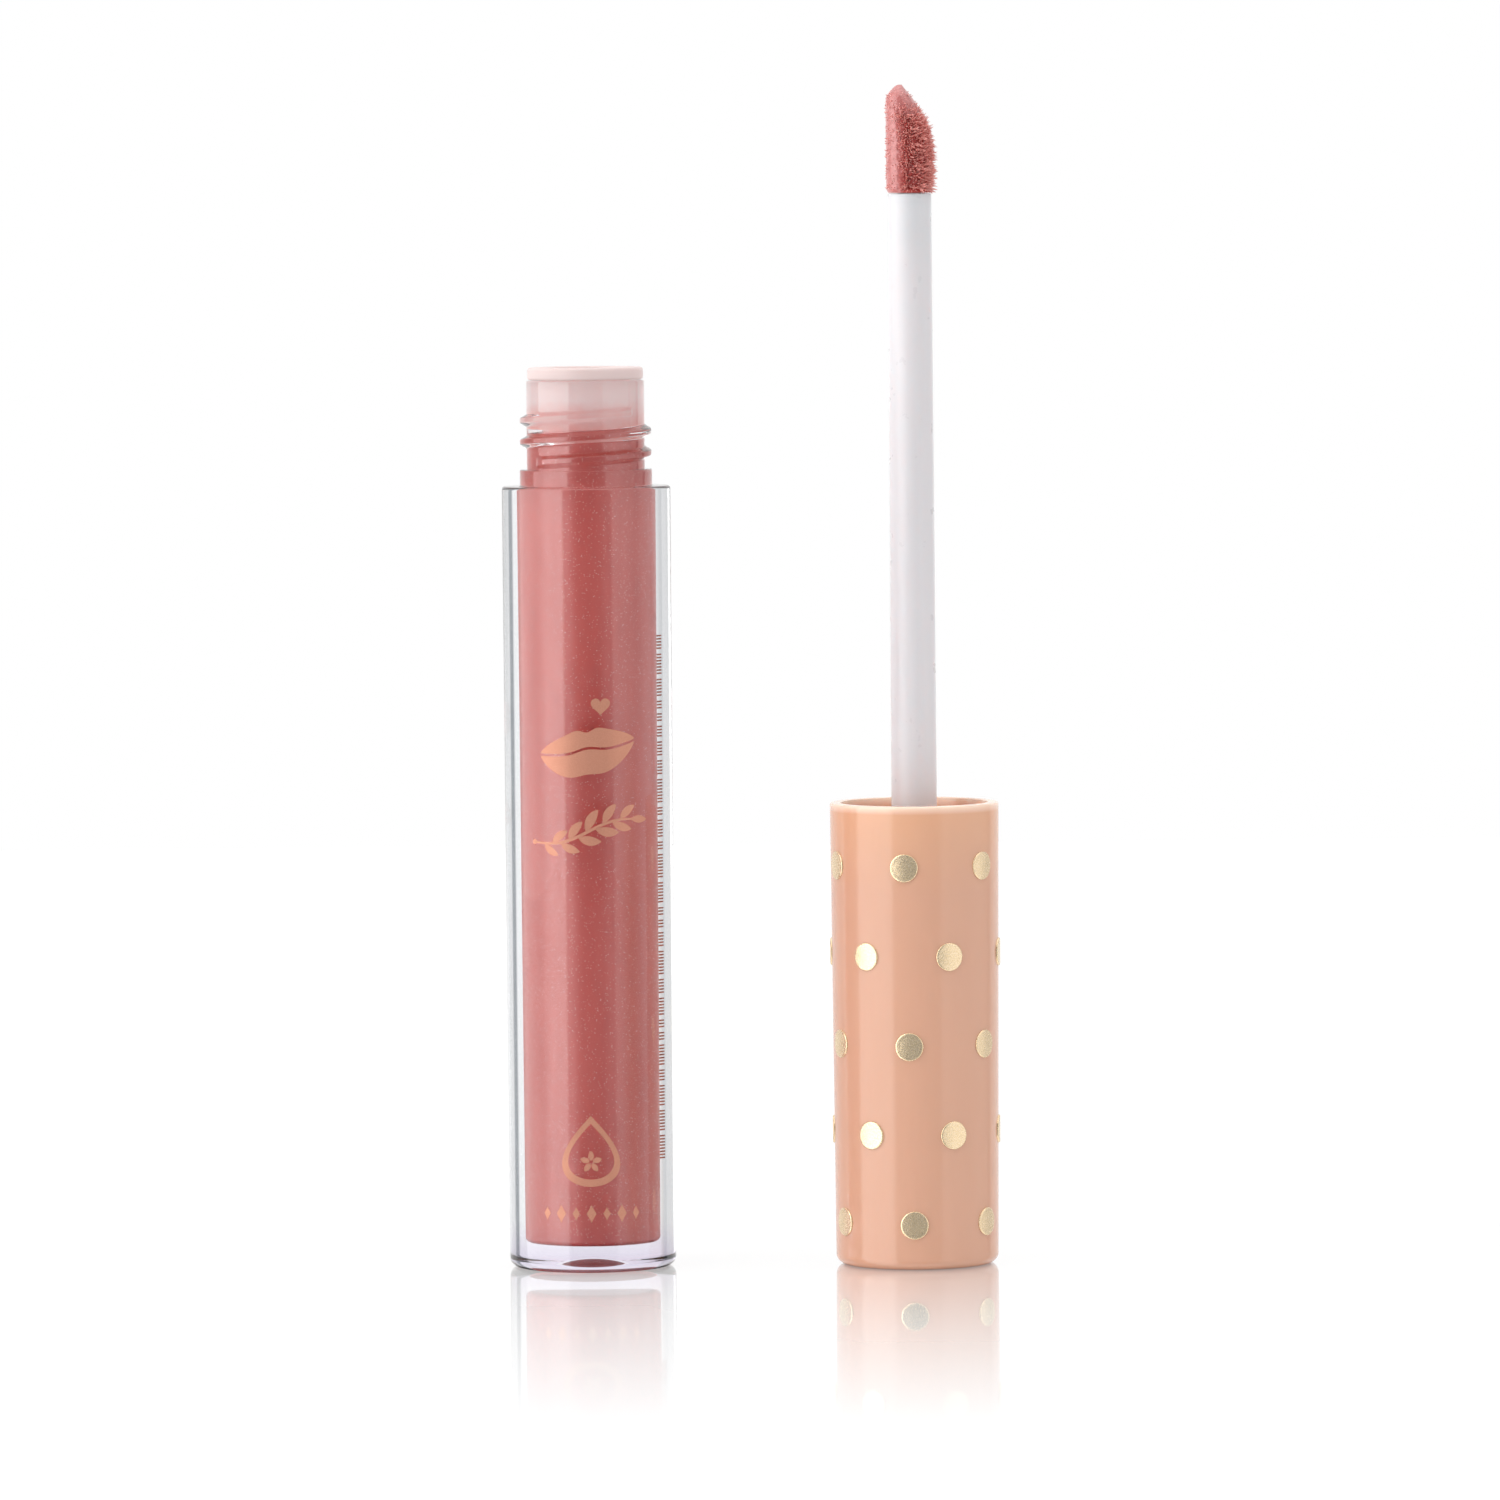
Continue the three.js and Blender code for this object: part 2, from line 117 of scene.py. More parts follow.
def corner(corner_r, corner_z, rounding, start, end, steps=8):
    """A corner of a profile, rounded, in millimetres. The angles in degrees say how it faces."""
    middle = math.radians((start + end) / 2)
    centre_r = corner_r - math.copysign(rounding, math.cos(middle))
    centre_z = corner_z - math.copysign(rounding, math.sin(middle))
    angles = np.radians(np.linspace(start, end, steps + 1))
    return [(centre_r + rounding * math.cos(a), centre_z + rounding * math.sin(a)) for a in angles]


def between(low, high, share):
    return low + (high - low) * share


def levels(radius_low, low, radius_high, high, count):
    """Evenly spaced profile points on a straight wall."""
    shares = np.linspace(0, 1, count + 1)
    return [(between(radius_low, radius_high, t), between(low, high, t)) for t in shares]


def rings(count, size, start=0):
    """The vertex numbers of rings that follow each other in a mesh."""
    return [list(range(start + i * size, start + (i + 1) * size)) for i in range(count)]


def joined(rows, closed=False):
    """Faces between neighbouring rings of vertex numbers. A ring of one is a pole."""
    faces = []
    for low, high in zip(rows, rows[1:] + rows[:closed]):
        for i in range(max(len(low), len(high))):
            j = i + 1
            corners = (low[i % len(low)], low[j % len(low)], high[j % len(high)], high[i % len(high)])
            faces.append(list(dict.fromkeys(corners)))
    return faces


def finish_mesh(name, vertices, faces, look):
    """A smooth-shaded object from vertices in metres, its faces turned outwards."""
    mesh = bpy.data.meshes.new(name)
    mesh.from_pydata([tuple(v) for v in vertices], [], faces)
    mesh.validate()
    work = bmesh.new()
    work.from_mesh(mesh)
    bmesh.ops.recalc_face_normals(work, faces=work.faces)
    work.to_mesh(mesh)
    work.free()
    mesh.shade_smooth()
    mesh.set_sharp_from_angle(angle=SHARP_EDGE)
    mesh.materials.append(look.material)
    piece = bpy.data.objects.new(name, mesh)
    bpy.context.scene.collection.objects.link(piece)
    return piece


def turned(name, profile, axis, look, segments, relief=None, closed=False):
    """A profile of (radius, height) in millimetres turned about an upright axis.

    relief(angles, radius, height) adds to the radius. closed joins the profile's end to its start.
    """
    angles = np.linspace(0, 2 * math.pi, segments, endpoint=False)
    vertices = []
    rows = []
    for radius, height in profile:
        if radius < 1e-6:
            rows.append([len(vertices)])
            vertices.append((axis[0], axis[1], height * MM))
            continue
        reach = np.full(segments, float(radius))
        if relief is not None:
            reach = reach + relief(angles, radius, height)
        rows.append(list(range(len(vertices), len(vertices) + segments)))
        for angle, r in zip(angles, reach):
            x = axis[0] + r * MM * math.cos(angle)
            y = axis[1] + r * MM * math.sin(angle)
            vertices.append((x, y, height * MM))
    return finish_mesh(name, vertices, joined(rows, closed), look)


def place(piece, body, slot, *nodes):
    """The piece moves with a body and stands for CAD nodes. The slot argument is not used."""
    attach(piece, body)
    if nodes:
        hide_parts(*nodes)
    print(piece.name, len(piece.data.polygons), "faces on", body)
    return piece


print("helpers ready")

# %% [markdown]
# ## Building materials from nodes
#
# Each finish is one Principled shader. What is the same all over is set on the shader's socket,
# and what changes over the surface, such as specks, faint waves or worn spots, comes from noise
# read in the piece's own coordinates, so that it stays put when the piece moves.

# %% Helpers for materials
class Nodes:
    """A node tree with short ways to fill it."""

    def __init__(self, tree):
        self.tree = tree

    def add(self, kind, **settings):
        node = self.tree.nodes.new(kind)
        for key, value in settings.items():
            setattr(node, key, value)
        return node

    def feed(self, value, socket):
        """Gives a socket a number, a colour or the output of another node."""
        if isinstance(value, (int, float)):
            socket.default_value = value
        elif isinstance(value, tuple):
            socket.default_value = (*value, 1.0)
        else:
            self.tree.links.new(value, socket)

    def split(self, vector):
        """The X, Y and Z of a vector."""
        node = self.add("ShaderNodeSeparateXYZ")
        self.feed(vector, node.inputs["Vector"])
        return [node.outputs[axis] for axis in "XYZ"]

    def math(self, operation, first, second=0.0):
        node = self.add("ShaderNodeMath", operation=operation)
        self.feed(first, node.inputs[0])
        self.feed(second, node.inputs[1])
        return node.outputs["Value"]

    def spread(self, value, low, high, to_low=0.0, to_high=1.0):
        """A value's range from low to high carried to another range, and held at its ends."""
        node = self.add("ShaderNodeMapRange")
        for socket, number in zip(("From Min", "From Max", "To Min", "To Max"),
                                  (low, high, to_low, to_high)):
            node.inputs[socket].default_value = number
        self.feed(value, node.inputs["Value"])
        return node.outputs["Result"]

    def mix(self, share, first, second, kind="RGBA"):
        node = self.add("ShaderNodeMix", data_type=kind)
        for value, socket in ((share, "Factor"), (first, "A"), (second, "B")):
            self.feed(value, node.inputs[socket])
        return node.outputs["Result"]

    def ramp(self, value, stops):
        """A colour for each position of a value from 0 to 1."""
        node = self.add("ShaderNodeValToRGB")
        elements = node.color_ramp.elements
        while len(elements) < len(stops):
            elements.new(1.0)
        for element, (position, colour) in zip(elements, stops):
            element.position = position
            element.color = (*colour, 1.0)
        self.feed(value, node.inputs["Fac"])
        return node.outputs["Color"]


class Finish(Nodes):
    """A material with one Principled shader, whose sockets can be set by keyword."""

    def __init__(self, name, **sockets):
        self.material = bpy.data.materials.new(name)
        self.material.use_nodes = True
        super().__init__(self.material.node_tree)
        self.shader = self.tree.nodes["Principled BSDF"]
        self.place = self.add("ShaderNodeTexCoord").outputs["Object"]
        for socket, value in sockets.items():
            self.shader.inputs[socket.replace("_", " ")].default_value = value

    def noise(self, scale, detail=3.0, roughness=0.5):
        """Cloudy noise. Three scales in place of one stretch it along the axes."""
        node = self.add("ShaderNodeTexNoise")
        place = self.place
        if isinstance(scale, tuple):
            stretch = self.add("ShaderNodeMapping")
            stretch.inputs["Scale"].default_value = scale
            self.feed(place, stretch.inputs["Vector"])
            place = stretch.outputs["Vector"]
            scale = 1
        self.feed(place, node.inputs["Vector"])
        for value, socket in ((scale, "Scale"), (detail, "Detail"), (roughness, "Roughness")):
            self.feed(value, node.inputs[socket])
        return node.outputs["Fac"]

    def cells(self, scale):
        """Distance to the nearest of many scattered points."""
        node = self.add("ShaderNodeTexVoronoi")
        node.inputs["Scale"].default_value = scale
        self.feed(self.place, node.inputs["Vector"])
        return node.outputs["Distance"]

    def height(self):
        """How high a point is, in millimetres."""
        return self.math("DIVIDE", self.split(self.place)[2], MM)

    def colour(self, source):
        self.feed(source, self.shader.inputs["Base Color"])

    def rough(self, scale, detail, low, high, calm=0.3):
        """Polish that drifts from low to high roughness with a noise."""
        drift = self.spread(self.noise(scale, detail), calm, 0.7, low, high)
        self.feed(drift, self.shader.inputs["Roughness"])

    def bump(self, source, depth, strength=1.0):
        """Small relief: depth is in metres."""
        node = self.add("ShaderNodeBump")
        for value, socket in ((strength, "Strength"), (depth, "Distance"), (source, "Height")):
            self.feed(value, node.inputs[socket])
        self.feed(node.outputs["Normal"], self.shader.inputs["Normal"])


def srgb(*tones):
    """A colour given as 0 to 255, in the linear values that a shader takes."""
    shares = [tone / 255 for tone in tones]
    return tuple(v / 12.92 if v <= 0.04045 else ((v + 0.055) / 1.055) ** 2.4 for v in shares)


print("material helpers ready")

# %% [markdown]
# ## Clear plastic
#
# The bottle is thick injection-moulded copolyester. It bends light like glass, so its wall acts
# as a lens and makes the gloss inside look much wider than it is. Full transmission with the
# plastic's real index does this by itself. A moulded wall isn't perfect: faint waves and tiny
# changes in polish keep the highlights from looking drawn. Towards the foot the plastic's colour
# has a painted violet-grey: it stands for the shade film's lilac rim reflected in the foot and for
# the shade there.

# %% Clear plastic finish
PLASTIC_INDEX = 1.56
WALL_TINT = srgb(247, 248, 250)
FOOT_PAINTED_REFLECTION = srgb(222, 214, 234)
FOOT_TINT_HEIGHTS = (0.3, 4.5)

clear = Finish("clear_copolyester", IOR=PLASTIC_INDEX, Transmission_Weight=1.0)
# Painted reflection and shade: the colour turns violet-grey towards the foot.
painted_foot_mask = clear.spread(clear.height(), *FOOT_TINT_HEIGHTS)
clear.colour(clear.mix(painted_foot_mask, FOOT_PAINTED_REFLECTION, WALL_TINT))
clear.rough(900, 4.0, 0.0, 0.035, calm=0.35)
clear.bump(clear.noise((260, 260, 60), 2.0), 0.004 * MM, 0.5)
print("clear plastic, index", PLASTIC_INDEX)

# %% [markdown]
# ## Pearly gloss
#
# The gloss is a thick tinted liquid with very fine pearl flakes. Most of its colour is plain
# pigment; the flakes add a soft metallic glow where a light is mirrored, and a scatter of tiny
# bright specks, which are the flakes' pale tone with their glint painted in. Slow swirls of a
# slightly lighter tone come from filling and from the wand.

# %% Gloss finish
GLOSS_DEEP = srgb(214, 74, 60)
GLOSS_LIGHT = srgb(222, 90, 77)
GLOSS_SPECK_GLINT = srgb(255, 226, 214)

gloss_look = Finish("pearl_gloss", IOR=1.9)
swirl = gloss_look.noise((420, 420, 90), 3.0, 0.55)
body_tone = gloss_look.mix(gloss_look.spread(swirl, 0.3, 0.7), GLOSS_DEEP, GLOSS_LIGHT)
# Painted glint: the flakes show as pale specks painted into the colour, partly their own tone.
flakes = gloss_look.spread(gloss_look.cells(5600), 0.14, 0.24, 1.0, 0.0)
patchy = gloss_look.spread(gloss_look.noise(3200, 2.0), 0.44, 0.6)
speck_glints = gloss_look.math("MULTIPLY", flakes, patchy)
gloss_look.colour(gloss_look.mix(speck_glints, body_tone, GLOSS_SPECK_GLINT))
gloss_look.rough(1500, 2.0, 0.3, 0.4)
gloss_look.bump(gloss_look.noise(5000, 2.0), 0.01 * MM, 0.25)
print("gloss finish ready")

# %% [markdown]
# ## Milky plastics
#
# The wiper and the wand are polyethylene and polypropylene: white, slightly see-through plastics
# in which light scatters before it comes out again. Subsurface scattering gives that depth, with
# a short radius because the walls are thin. The liner and the tip's core use the same recipe.

# %% Milky plastic finishes
SCATTER = (1.0, 0.75, 0.7)


def milky(name, tone, shade, depth, roughness, radius):
    """A white plastic with a faint cloudiness, flow lines along its length and soft polish."""
    look = Finish(name, IOR=1.5, Subsurface_Weight=depth, Subsurface_Scale=radius,
                  Subsurface_Radius=SCATTER)
    flow = look.noise((700, 700, 30), 4.0)
    look.colour(look.mix(look.spread(flow, 0.3, 0.72), tone, shade))
    look.rough(700, 3.0, roughness - 0.03, roughness + 0.03)
    look.bump(look.noise((900, 900, 120), 2.0), 0.002 * MM, 0.3)
    return look


wand_look = milky("wand_polypropylene", srgb(222, 219, 221), srgb(218, 215, 217), 0.6, 0.3, 2.2 * MM)
liner_look = milky("liner_polypropylene", srgb(243, 196, 164), srgb(238, 186, 152), 0.2, 0.38, 1.0 * MM)
core_look = milky("core_elastomer", srgb(240, 232, 228), srgb(233, 224, 220), 0.3, 0.45, 0.8 * MM)
print("milky plastics ready")

# %% [markdown]
# The wiper touches gloss all the time, so its lower half is stained pink and its upper half only
# lightly. The stain follows the height, broken up by a little noise. The clean upper sleeve sits in
# the shaded neck and is painted much paler than the greyer flange: that is painted light from
# behind. A trace of emission stands for the light that such a thin milky wall passes on from behind.

# %% Wiper finish
WIPER_STAINED = srgb(252, 158, 147)
WIPER_CLEAN_AND_LIT = srgb(255, 233, 230)
WIPER_FLANGE = srgb(208, 193, 190)
WIPER_STAIN_HEIGHTS = (80.0, 83.2)
FLANGE_HEIGHTS = (85.0, 85.3)
WIPER_GLOW = srgb(255, 222, 219)

wiper_look = Finish("wiper_polyethylene", Transmission_Weight=0.15, Subsurface_Weight=0.4,
                    Subsurface_Scale=1.2 * MM, Subsurface_Radius=SCATTER, Roughness=0.4, IOR=1.4,
                    Emission_Strength=0.13, Emission_Color=(*WIPER_GLOW, 1.0))
cloud = wiper_look.spread(wiper_look.noise(900, 3.0), 0.0, 1.0, -0.7, 0.7)
stain = wiper_look.spread(wiper_look.math("ADD", wiper_look.height(), cloud), *WIPER_STAIN_HEIGHTS)
# Painted light: the clean upper sleeve is paler than the greyer flange, for light from behind.
in_flange = wiper_look.spread(wiper_look.height(), *FLANGE_HEIGHTS)
sleeve_stain_and_light = wiper_look.mix(stain, WIPER_STAINED, WIPER_CLEAN_AND_LIT)
wiper_look.colour(wiper_look.mix(in_flange, sleeve_stain_and_light, WIPER_FLANGE))
wiper_look.bump(wiper_look.noise(3000, 2.0), 0.006 * MM, 0.3)
print("wiper finish ready")

# %% [markdown]
# ## Peach cap plastic
#
# The cap is polished, tinted plastic, opaque but not dead: near the open rim there is no liner
# behind the wall, so light comes through it, and that light is painted into the colour as a warmer
# band. The thin rounded rim lets light through and is painted as the palest part. The gloss is
# broken by the faintest waves.

# %% Cap finish
CAP_WARM_GLOW = srgb(228, 174, 140)
CAP_COOL = srgb(220, 168, 141)
CAP_RIM_LIGHT = srgb(252, 218, 196)
CAP_WARM_HEIGHTS = (36.0, 43.5)
CAP_RIM_HEIGHTS = (43.6, 44.2)

cap_look = Finish("peach_plastic", IOR=1.52, Subsurface_Weight=0.15, Subsurface_Scale=1.2 * MM,
                  Subsurface_Radius=(1.0, 0.6, 0.4))
# Painted light: a warmer band near the open rim and a pale rim, for light through the thin wall.
painted_warm_glow = cap_look.spread(cap_look.height(), *CAP_WARM_HEIGHTS)
tint = cap_look.math("ADD", painted_warm_glow, cap_look.spread(cap_look.noise(300, 3.0), 0, 1, -0.12, 0.12))
painted_rim_light = cap_look.spread(cap_look.height(), *CAP_RIM_HEIGHTS)
cap_look.colour(cap_look.mix(painted_rim_light, cap_look.mix(tint, CAP_COOL, CAP_WARM_GLOW), CAP_RIM_LIGHT))
cap_look.rough(1800, 4.0, 0.1, 0.2)
cap_look.bump(cap_look.noise((520, 520, 160), 2.0), 0.004 * MM, 0.35)
print("cap finish ready")

# %% [markdown]
# ## Foils
#
# The dots and the printed ornament are hot-stamped foil with a fine crackle. The gold is mostly
# metal: in the dark part of the studio its crackle shows as glitter, and where a soft box is
# mirrored the dot goes bright and plain. The rose foil is a duller, lacquered one, less than
# half metal, and keeps its colour all round the bottle.

# %% Foil finishes
def foil(name, tone, dark, metal, roughness, grain, depth):
    """A stamped metal foil with a fine crackle and slightly darker pits."""
    look = Finish(name, Metallic=metal)
    pits = look.spread(look.cells(grain), 0.1, 0.55)
    look.colour(look.mix(pits, tone, dark))
    look.rough(grain * 0.6, 3.0, roughness * 0.7, roughness * 1.4)
    look.bump(look.noise(grain, 3.0, 0.6), depth)
    return look


gold_look = foil("gold_foil", srgb(251, 231, 202), srgb(235, 209, 169), 0.8, 0.22, 10000, 0.019 * MM)
print_look = foil("rose_foil", srgb(213, 151, 126), srgb(203, 139, 114), 0.4, 0.42, 11000, 0.005 * MM)
print("foils ready")

# %% [markdown]
# ## Label film, seal and flock
#
# The shade film under the base has a plum spot in the middle and a lilac rim. The seal is white
# foam. The flock is short nylon fibre soaked in gloss: under the film of gloss its tone is even
# and pale. On the free side the body between the fibres is painted deep, a painted shade between
# the fibres, and the fibre ends are lighter, partly their own paler tone and partly a painted
# highlight.

# %% Small finishes
SHADE_SPOT = (2.5, 2.8)
SHADE_HEIGHT = 0.4
SHADE_RIM = srgb(190, 170, 212)
TIP_FILM_FOOT = (109.4, 111.0)
TIP_FILM_EDGE = (-1.1, -0.4)

film_look = Finish("shade_film", Roughness=0.35, IOR=1.5)
from_middle = film_look.add("ShaderNodeVectorMath", operation="DISTANCE")
film_look.feed(film_look.place, from_middle.inputs[0])
from_middle.inputs[1].default_value = (*bottle_axis, SHADE_HEIGHT * MM)
film_rim = film_look.spread(film_look.math("DIVIDE", from_middle.outputs["Value"], MM), *SHADE_SPOT)
spot_tone = film_look.mix(film_look.noise(1500), srgb(122, 42, 58), srgb(140, 54, 70))
film_look.colour(film_look.mix(film_rim, spot_tone, SHADE_RIM))
film_look.bump(film_look.noise(2500, 2.0), 0.005 * MM, 0.3)

foam_look = Finish("seal_foam", Roughness=0.85)
bubbles = foam_look.cells(5000)
foam_look.colour(foam_look.mix(foam_look.spread(bubbles, 0.1, 0.6), srgb(226, 221, 214), srgb(246, 243, 238)))
foam_look.bump(bubbles, 0.03 * MM, 0.6)

wet_look = Finish("wet_flock", Roughness=0.34, IOR=1.46, Coat_Weight=0.7, Coat_Roughness=0.16)
sideways = wet_look.math("SUBTRACT", wet_look.split(wet_look.place)[0], cap_axis[0])
right_of_film = wet_look.spread(wet_look.math("DIVIDE", sideways, MM), *TIP_FILM_EDGE)
below_film = wet_look.spread(wet_look.height(), *TIP_FILM_FOOT, 1.0, 0.0)
# Painted shade: on the free side the ground between the standing fibres is darker.
free_side_shade = wet_look.math("MULTIPLY", right_of_film, below_film)
blotch = wet_look.spread(wet_look.noise(2200), 0.35, 0.65)
film_tone = wet_look.mix(blotch, srgb(184, 102, 98), srgb(200, 122, 119))
root_painted_shade = wet_look.mix(blotch, srgb(166, 54, 48), srgb(192, 82, 75))
wet_look.colour(wet_look.mix(free_side_shade, film_tone, root_painted_shade))
wet_look.bump(wet_look.noise(4200), 0.03 * MM, 0.5)

fibre_look = Finish("wet_fibres", Roughness=0.28, IOR=1.5, Coat_Weight=1.0, Coat_Roughness=0.1)
fibre_blotch = fibre_look.spread(fibre_look.noise(5000, 2.0), 0.35, 0.65)
# The fibres are lighter than the ground: partly their own paler tone, partly a painted highlight.
fibre_look.colour(fibre_look.mix(fibre_blotch, srgb(226, 140, 132), srgb(246, 184, 174)))
fibre_look.bump(fibre_look.noise(9000, 2.0), 0.01 * MM, 0.4)
print("small finishes ready")

# %% [markdown]
# ## The bottle
#
# One closed body: the outside from the hollow under the base over the foot, the wall, the
# shoulder, the collar and the threaded neck, then down the bore and across its floor. The
# thread is a rounded ridge that climbs the neck, made by adding to the radius where the ridge
# passes, so neck and thread are one skin and light passes through them without a seam. In the
# middle of the hollow is a small dome, the well round the point where the plastic went in.

# %% Sizes of the bottle
FOOT_RADIUS = 7.99
SHOULDER_RADIUS = 8.08
SHOULDER_HEIGHT = 75.0
SHOULDER_ROUNDING = 0.3
FOOT_ROUNDING = 0.9
FOOT_RING_WIDTH = 1.5
RECESS_DEPTH = 0.45
RECESS_LEAN = 0.3
GATE_WELL_RADIUS = 2.45
GATE_WELL_DEPTH = 0.6
NECK_RADIUS = 5.65
COLLAR_RADIUS = 6.35
COLLAR_TOP = 76.6
NECK_TOP = 85.1
BORE_RADIUS = 4.25
BORE_DRAFT = 0.13
BORE_FLOOR = 2.4
BORE_FLOOR_ROUNDING = 0.5
SMALL_EDGE = 0.14

THREAD_PITCH = 2.06
THREAD_DEPTH = 0.65
THREAD_TURNS = 2.3
THREAD_FOOT = 0.68
THREAD_CREST = 0.16
THREAD_START = 215
THREAD_LIFT = 0.75
THREAD_RUN_OUT = 50


def screw_ridge(wall, start_height, out=1):
    """Relief for a thread on one wall of a profile. At out=-1 it stands into a bore."""
    def relief(angles, radius, height):
        ridge = np.zeros_like(angles)
        if abs(radius - wall) > 1e-6:
            return ridge
        turn_from_start = (np.degrees(angles) - THREAD_START) % 360
        for lap in range(math.ceil(THREAD_TURNS) + 1):
            turn = turn_from_start + 360 * lap
            left = THREAD_TURNS * 360 - turn
            fade = np.clip(np.minimum(turn, left) / THREAD_RUN_OUT, 0, 1) ** 0.5
            away = np.abs(height - start_height - THREAD_PITCH * turn / 360)
            flank = np.clip((THREAD_FOOT - away) / (THREAD_FOOT - THREAD_CREST), 0, 1)
            smooth = flank * flank * (3 - 2 * flank)
            ridge = np.maximum(ridge, THREAD_DEPTH * fade * smooth)
        return out * ridge
    return relief


print("thread of", THREAD_TURNS, "turns")

# %% Make the bottle
foot_inner = FOOT_RADIUS - FOOT_ROUNDING - FOOT_RING_WIDTH
recess_radius = foot_inner - RECESS_LEAN
bore_low = BORE_RADIUS - BORE_DRAFT
neck_thread = screw_ridge(NECK_RADIUS, COLLAR_TOP + THREAD_LIFT)
dome_steps = np.linspace(0, 1, 16)
gate_well = [(GATE_WELL_RADIUS * t, RECESS_DEPTH + GATE_WELL_DEPTH * (1 - t * t)) for t in dome_steps]
bottle_profile = [
    *gate_well,
    (recess_radius - SMALL_EDGE, RECESS_DEPTH),
    (recess_radius, RECESS_DEPTH - SMALL_EDGE),
    (foot_inner - SMALL_EDGE, SMALL_EDGE / 2),
    (foot_inner + SMALL_EDGE, 0),
    *corner(FOOT_RADIUS, 0, FOOT_ROUNDING, -90, 0, 14),
    *corner(SHOULDER_RADIUS, SHOULDER_HEIGHT, SHOULDER_ROUNDING, 0, 90),
    *corner(COLLAR_RADIUS, SHOULDER_HEIGHT, SMALL_EDGE, 270, 180, 4),
    *corner(COLLAR_RADIUS, COLLAR_TOP, SMALL_EDGE, 0, 90, 4),
    *levels(NECK_RADIUS, COLLAR_TOP, NECK_RADIUS, NECK_TOP - SMALL_EDGE, 150),
    *corner(NECK_RADIUS - 1e-5, NECK_TOP, SMALL_EDGE, 20, 90, 4),
    *corner(BORE_RADIUS, NECK_TOP, SMALL_EDGE, 90, 180, 4),
    *corner(bore_low, BORE_FLOOR, BORE_FLOOR_ROUNDING, 0, -90, 12),
    (0, BORE_FLOOR),
]
bottle = turned("bottle_clear", bottle_profile, bottle_axis, clear, 240, neck_thread)
place(bottle, "bottle", "clear_plastic", "bottle")

# %% [markdown]
# ## The gloss
#
# The gloss wets the wall, so no air lies between the two. In a path tracer that contact is made
# by letting the gloss reach a hair into the plastic: a ray inside the wall then meets the gloss
# first. Its top creeps up round the wiper's cone, as any thick liquid does.

# %% Make the gloss
WETTING = 0.02
WIPER_BOTTOM = 79.1
WIPER_TOP = 86.35
WIPER_LIP = 1.92
WIPER_WALL = 0.7
WIPER_CONE = 1.4
CREEP = 0.9

gloss_wall = BORE_RADIUS + WETTING
gloss_low = bore_low + WETTING
gloss_profile = [
    (0, BORE_FLOOR - WETTING),
    *corner(gloss_low, BORE_FLOOR - WETTING, BORE_FLOOR_ROUNDING, -90, 0, 12),
    (gloss_wall, WIPER_BOTTOM + CREEP),
    (gloss_wall - 0.25, WIPER_BOTTOM + CREEP - 0.05),
    (WIPER_LIP + 0.6, WIPER_BOTTOM - 0.04),
    (WIPER_LIP, WIPER_BOTTOM - 0.08),
    (0.8, WIPER_BOTTOM - 0.3),
    (0, WIPER_BOTTOM - 0.35),
]
gloss = turned("gloss_filling", gloss_profile, bottle_axis, gloss_look, 160)
place(gloss, "bottle", "gloss_liquid", "gloss")

# %% [markdown]
# ## The wiper
#
# A soft sleeve is pressed into the neck. Its flange rests on the rim, and its lower end narrows
# to a lip that strips the wand.

# %% Make the wiper
FLANGE_RADIUS = 5.55
FLANGE_ROUNDING = 0.3
THROAT_ROUNDING = 0.25
FLANGE_BOTTOM = 85.15
sleeve_radius = BORE_RADIUS + WETTING
throat_radius = BORE_RADIUS - 0.1 - WIPER_WALL

wiper_profile = [
    (WIPER_LIP + 0.03, WIPER_BOTTOM),
    (WIPER_LIP + 0.32, WIPER_BOTTOM),
    (sleeve_radius - 0.3, WIPER_BOTTOM + WIPER_CONE - 0.5),
    (sleeve_radius, WIPER_BOTTOM + WIPER_CONE),
    (sleeve_radius, NECK_TOP - SMALL_EDGE),
    (sleeve_radius, FLANGE_BOTTOM),
    *corner(FLANGE_RADIUS, FLANGE_BOTTOM, FLANGE_ROUNDING, -90, 0, 6),
    *corner(FLANGE_RADIUS, WIPER_TOP, FLANGE_ROUNDING, 0, 90, 6),
    *corner(throat_radius, WIPER_TOP, THROAT_ROUNDING, 90, 180, 4),
    (throat_radius, WIPER_BOTTOM + WIPER_CONE),
    (WIPER_LIP, WIPER_BOTTOM + 0.25),
]
wiper = turned("wiper_sleeve", wiper_profile, bottle_axis, wiper_look, 160, closed=True)
place(wiper, "bottle", "milky_plastic", "wiper")

# %% [markdown]
# ## The shade film
#
# A round film with a plum spot is stuck in the hollow of the base. Above its middle, the dome of
# the gate well mirrors the gloss and shows as a dark lens in the clear foot.

# %% Make the shade film
FILM_TOP = RECESS_DEPTH - 0.04
FILM_THICKNESS = 0.15
FILM_EDGE_ROUNDING = 0.05
film_radius = recess_radius - 0.1

film_profile = [
    (0, FILM_TOP - FILM_THICKNESS),
    *corner(film_radius, FILM_TOP - FILM_THICKNESS, FILM_EDGE_ROUNDING, -90, 0, 3),
    *corner(film_radius, FILM_TOP, FILM_EDGE_ROUNDING, 0, 90, 3),
    (0, FILM_TOP),
]
film = turned("shade_film", film_profile, bottle_axis, film_look, 128)
place(film, "bottle", "label_film", "base_label")

# %% [markdown]
# ## The cap's shell
#
# The cap is a slightly tapered tube, closed at its crown, which is the end it stands on here. Its
# open rim is thin and has a small rounded edge that catches a bright line.

# %% Make the cap's shell
CAP_LENGTH = 44.4
CAP_RIM_RADIUS = 8.1
CAP_CROWN_RADIUS = 7.8
CROWN_ROUNDING = 1.0
RIM_ROUNDING = 0.22
MOUTH_ROUNDING = 0.12
SHELL_BORE = 7.07
SHELL_STEP = 25.3
CROWN_THICKNESS = 1.6
SHELL_FLOOR_RADIUS = 6.67


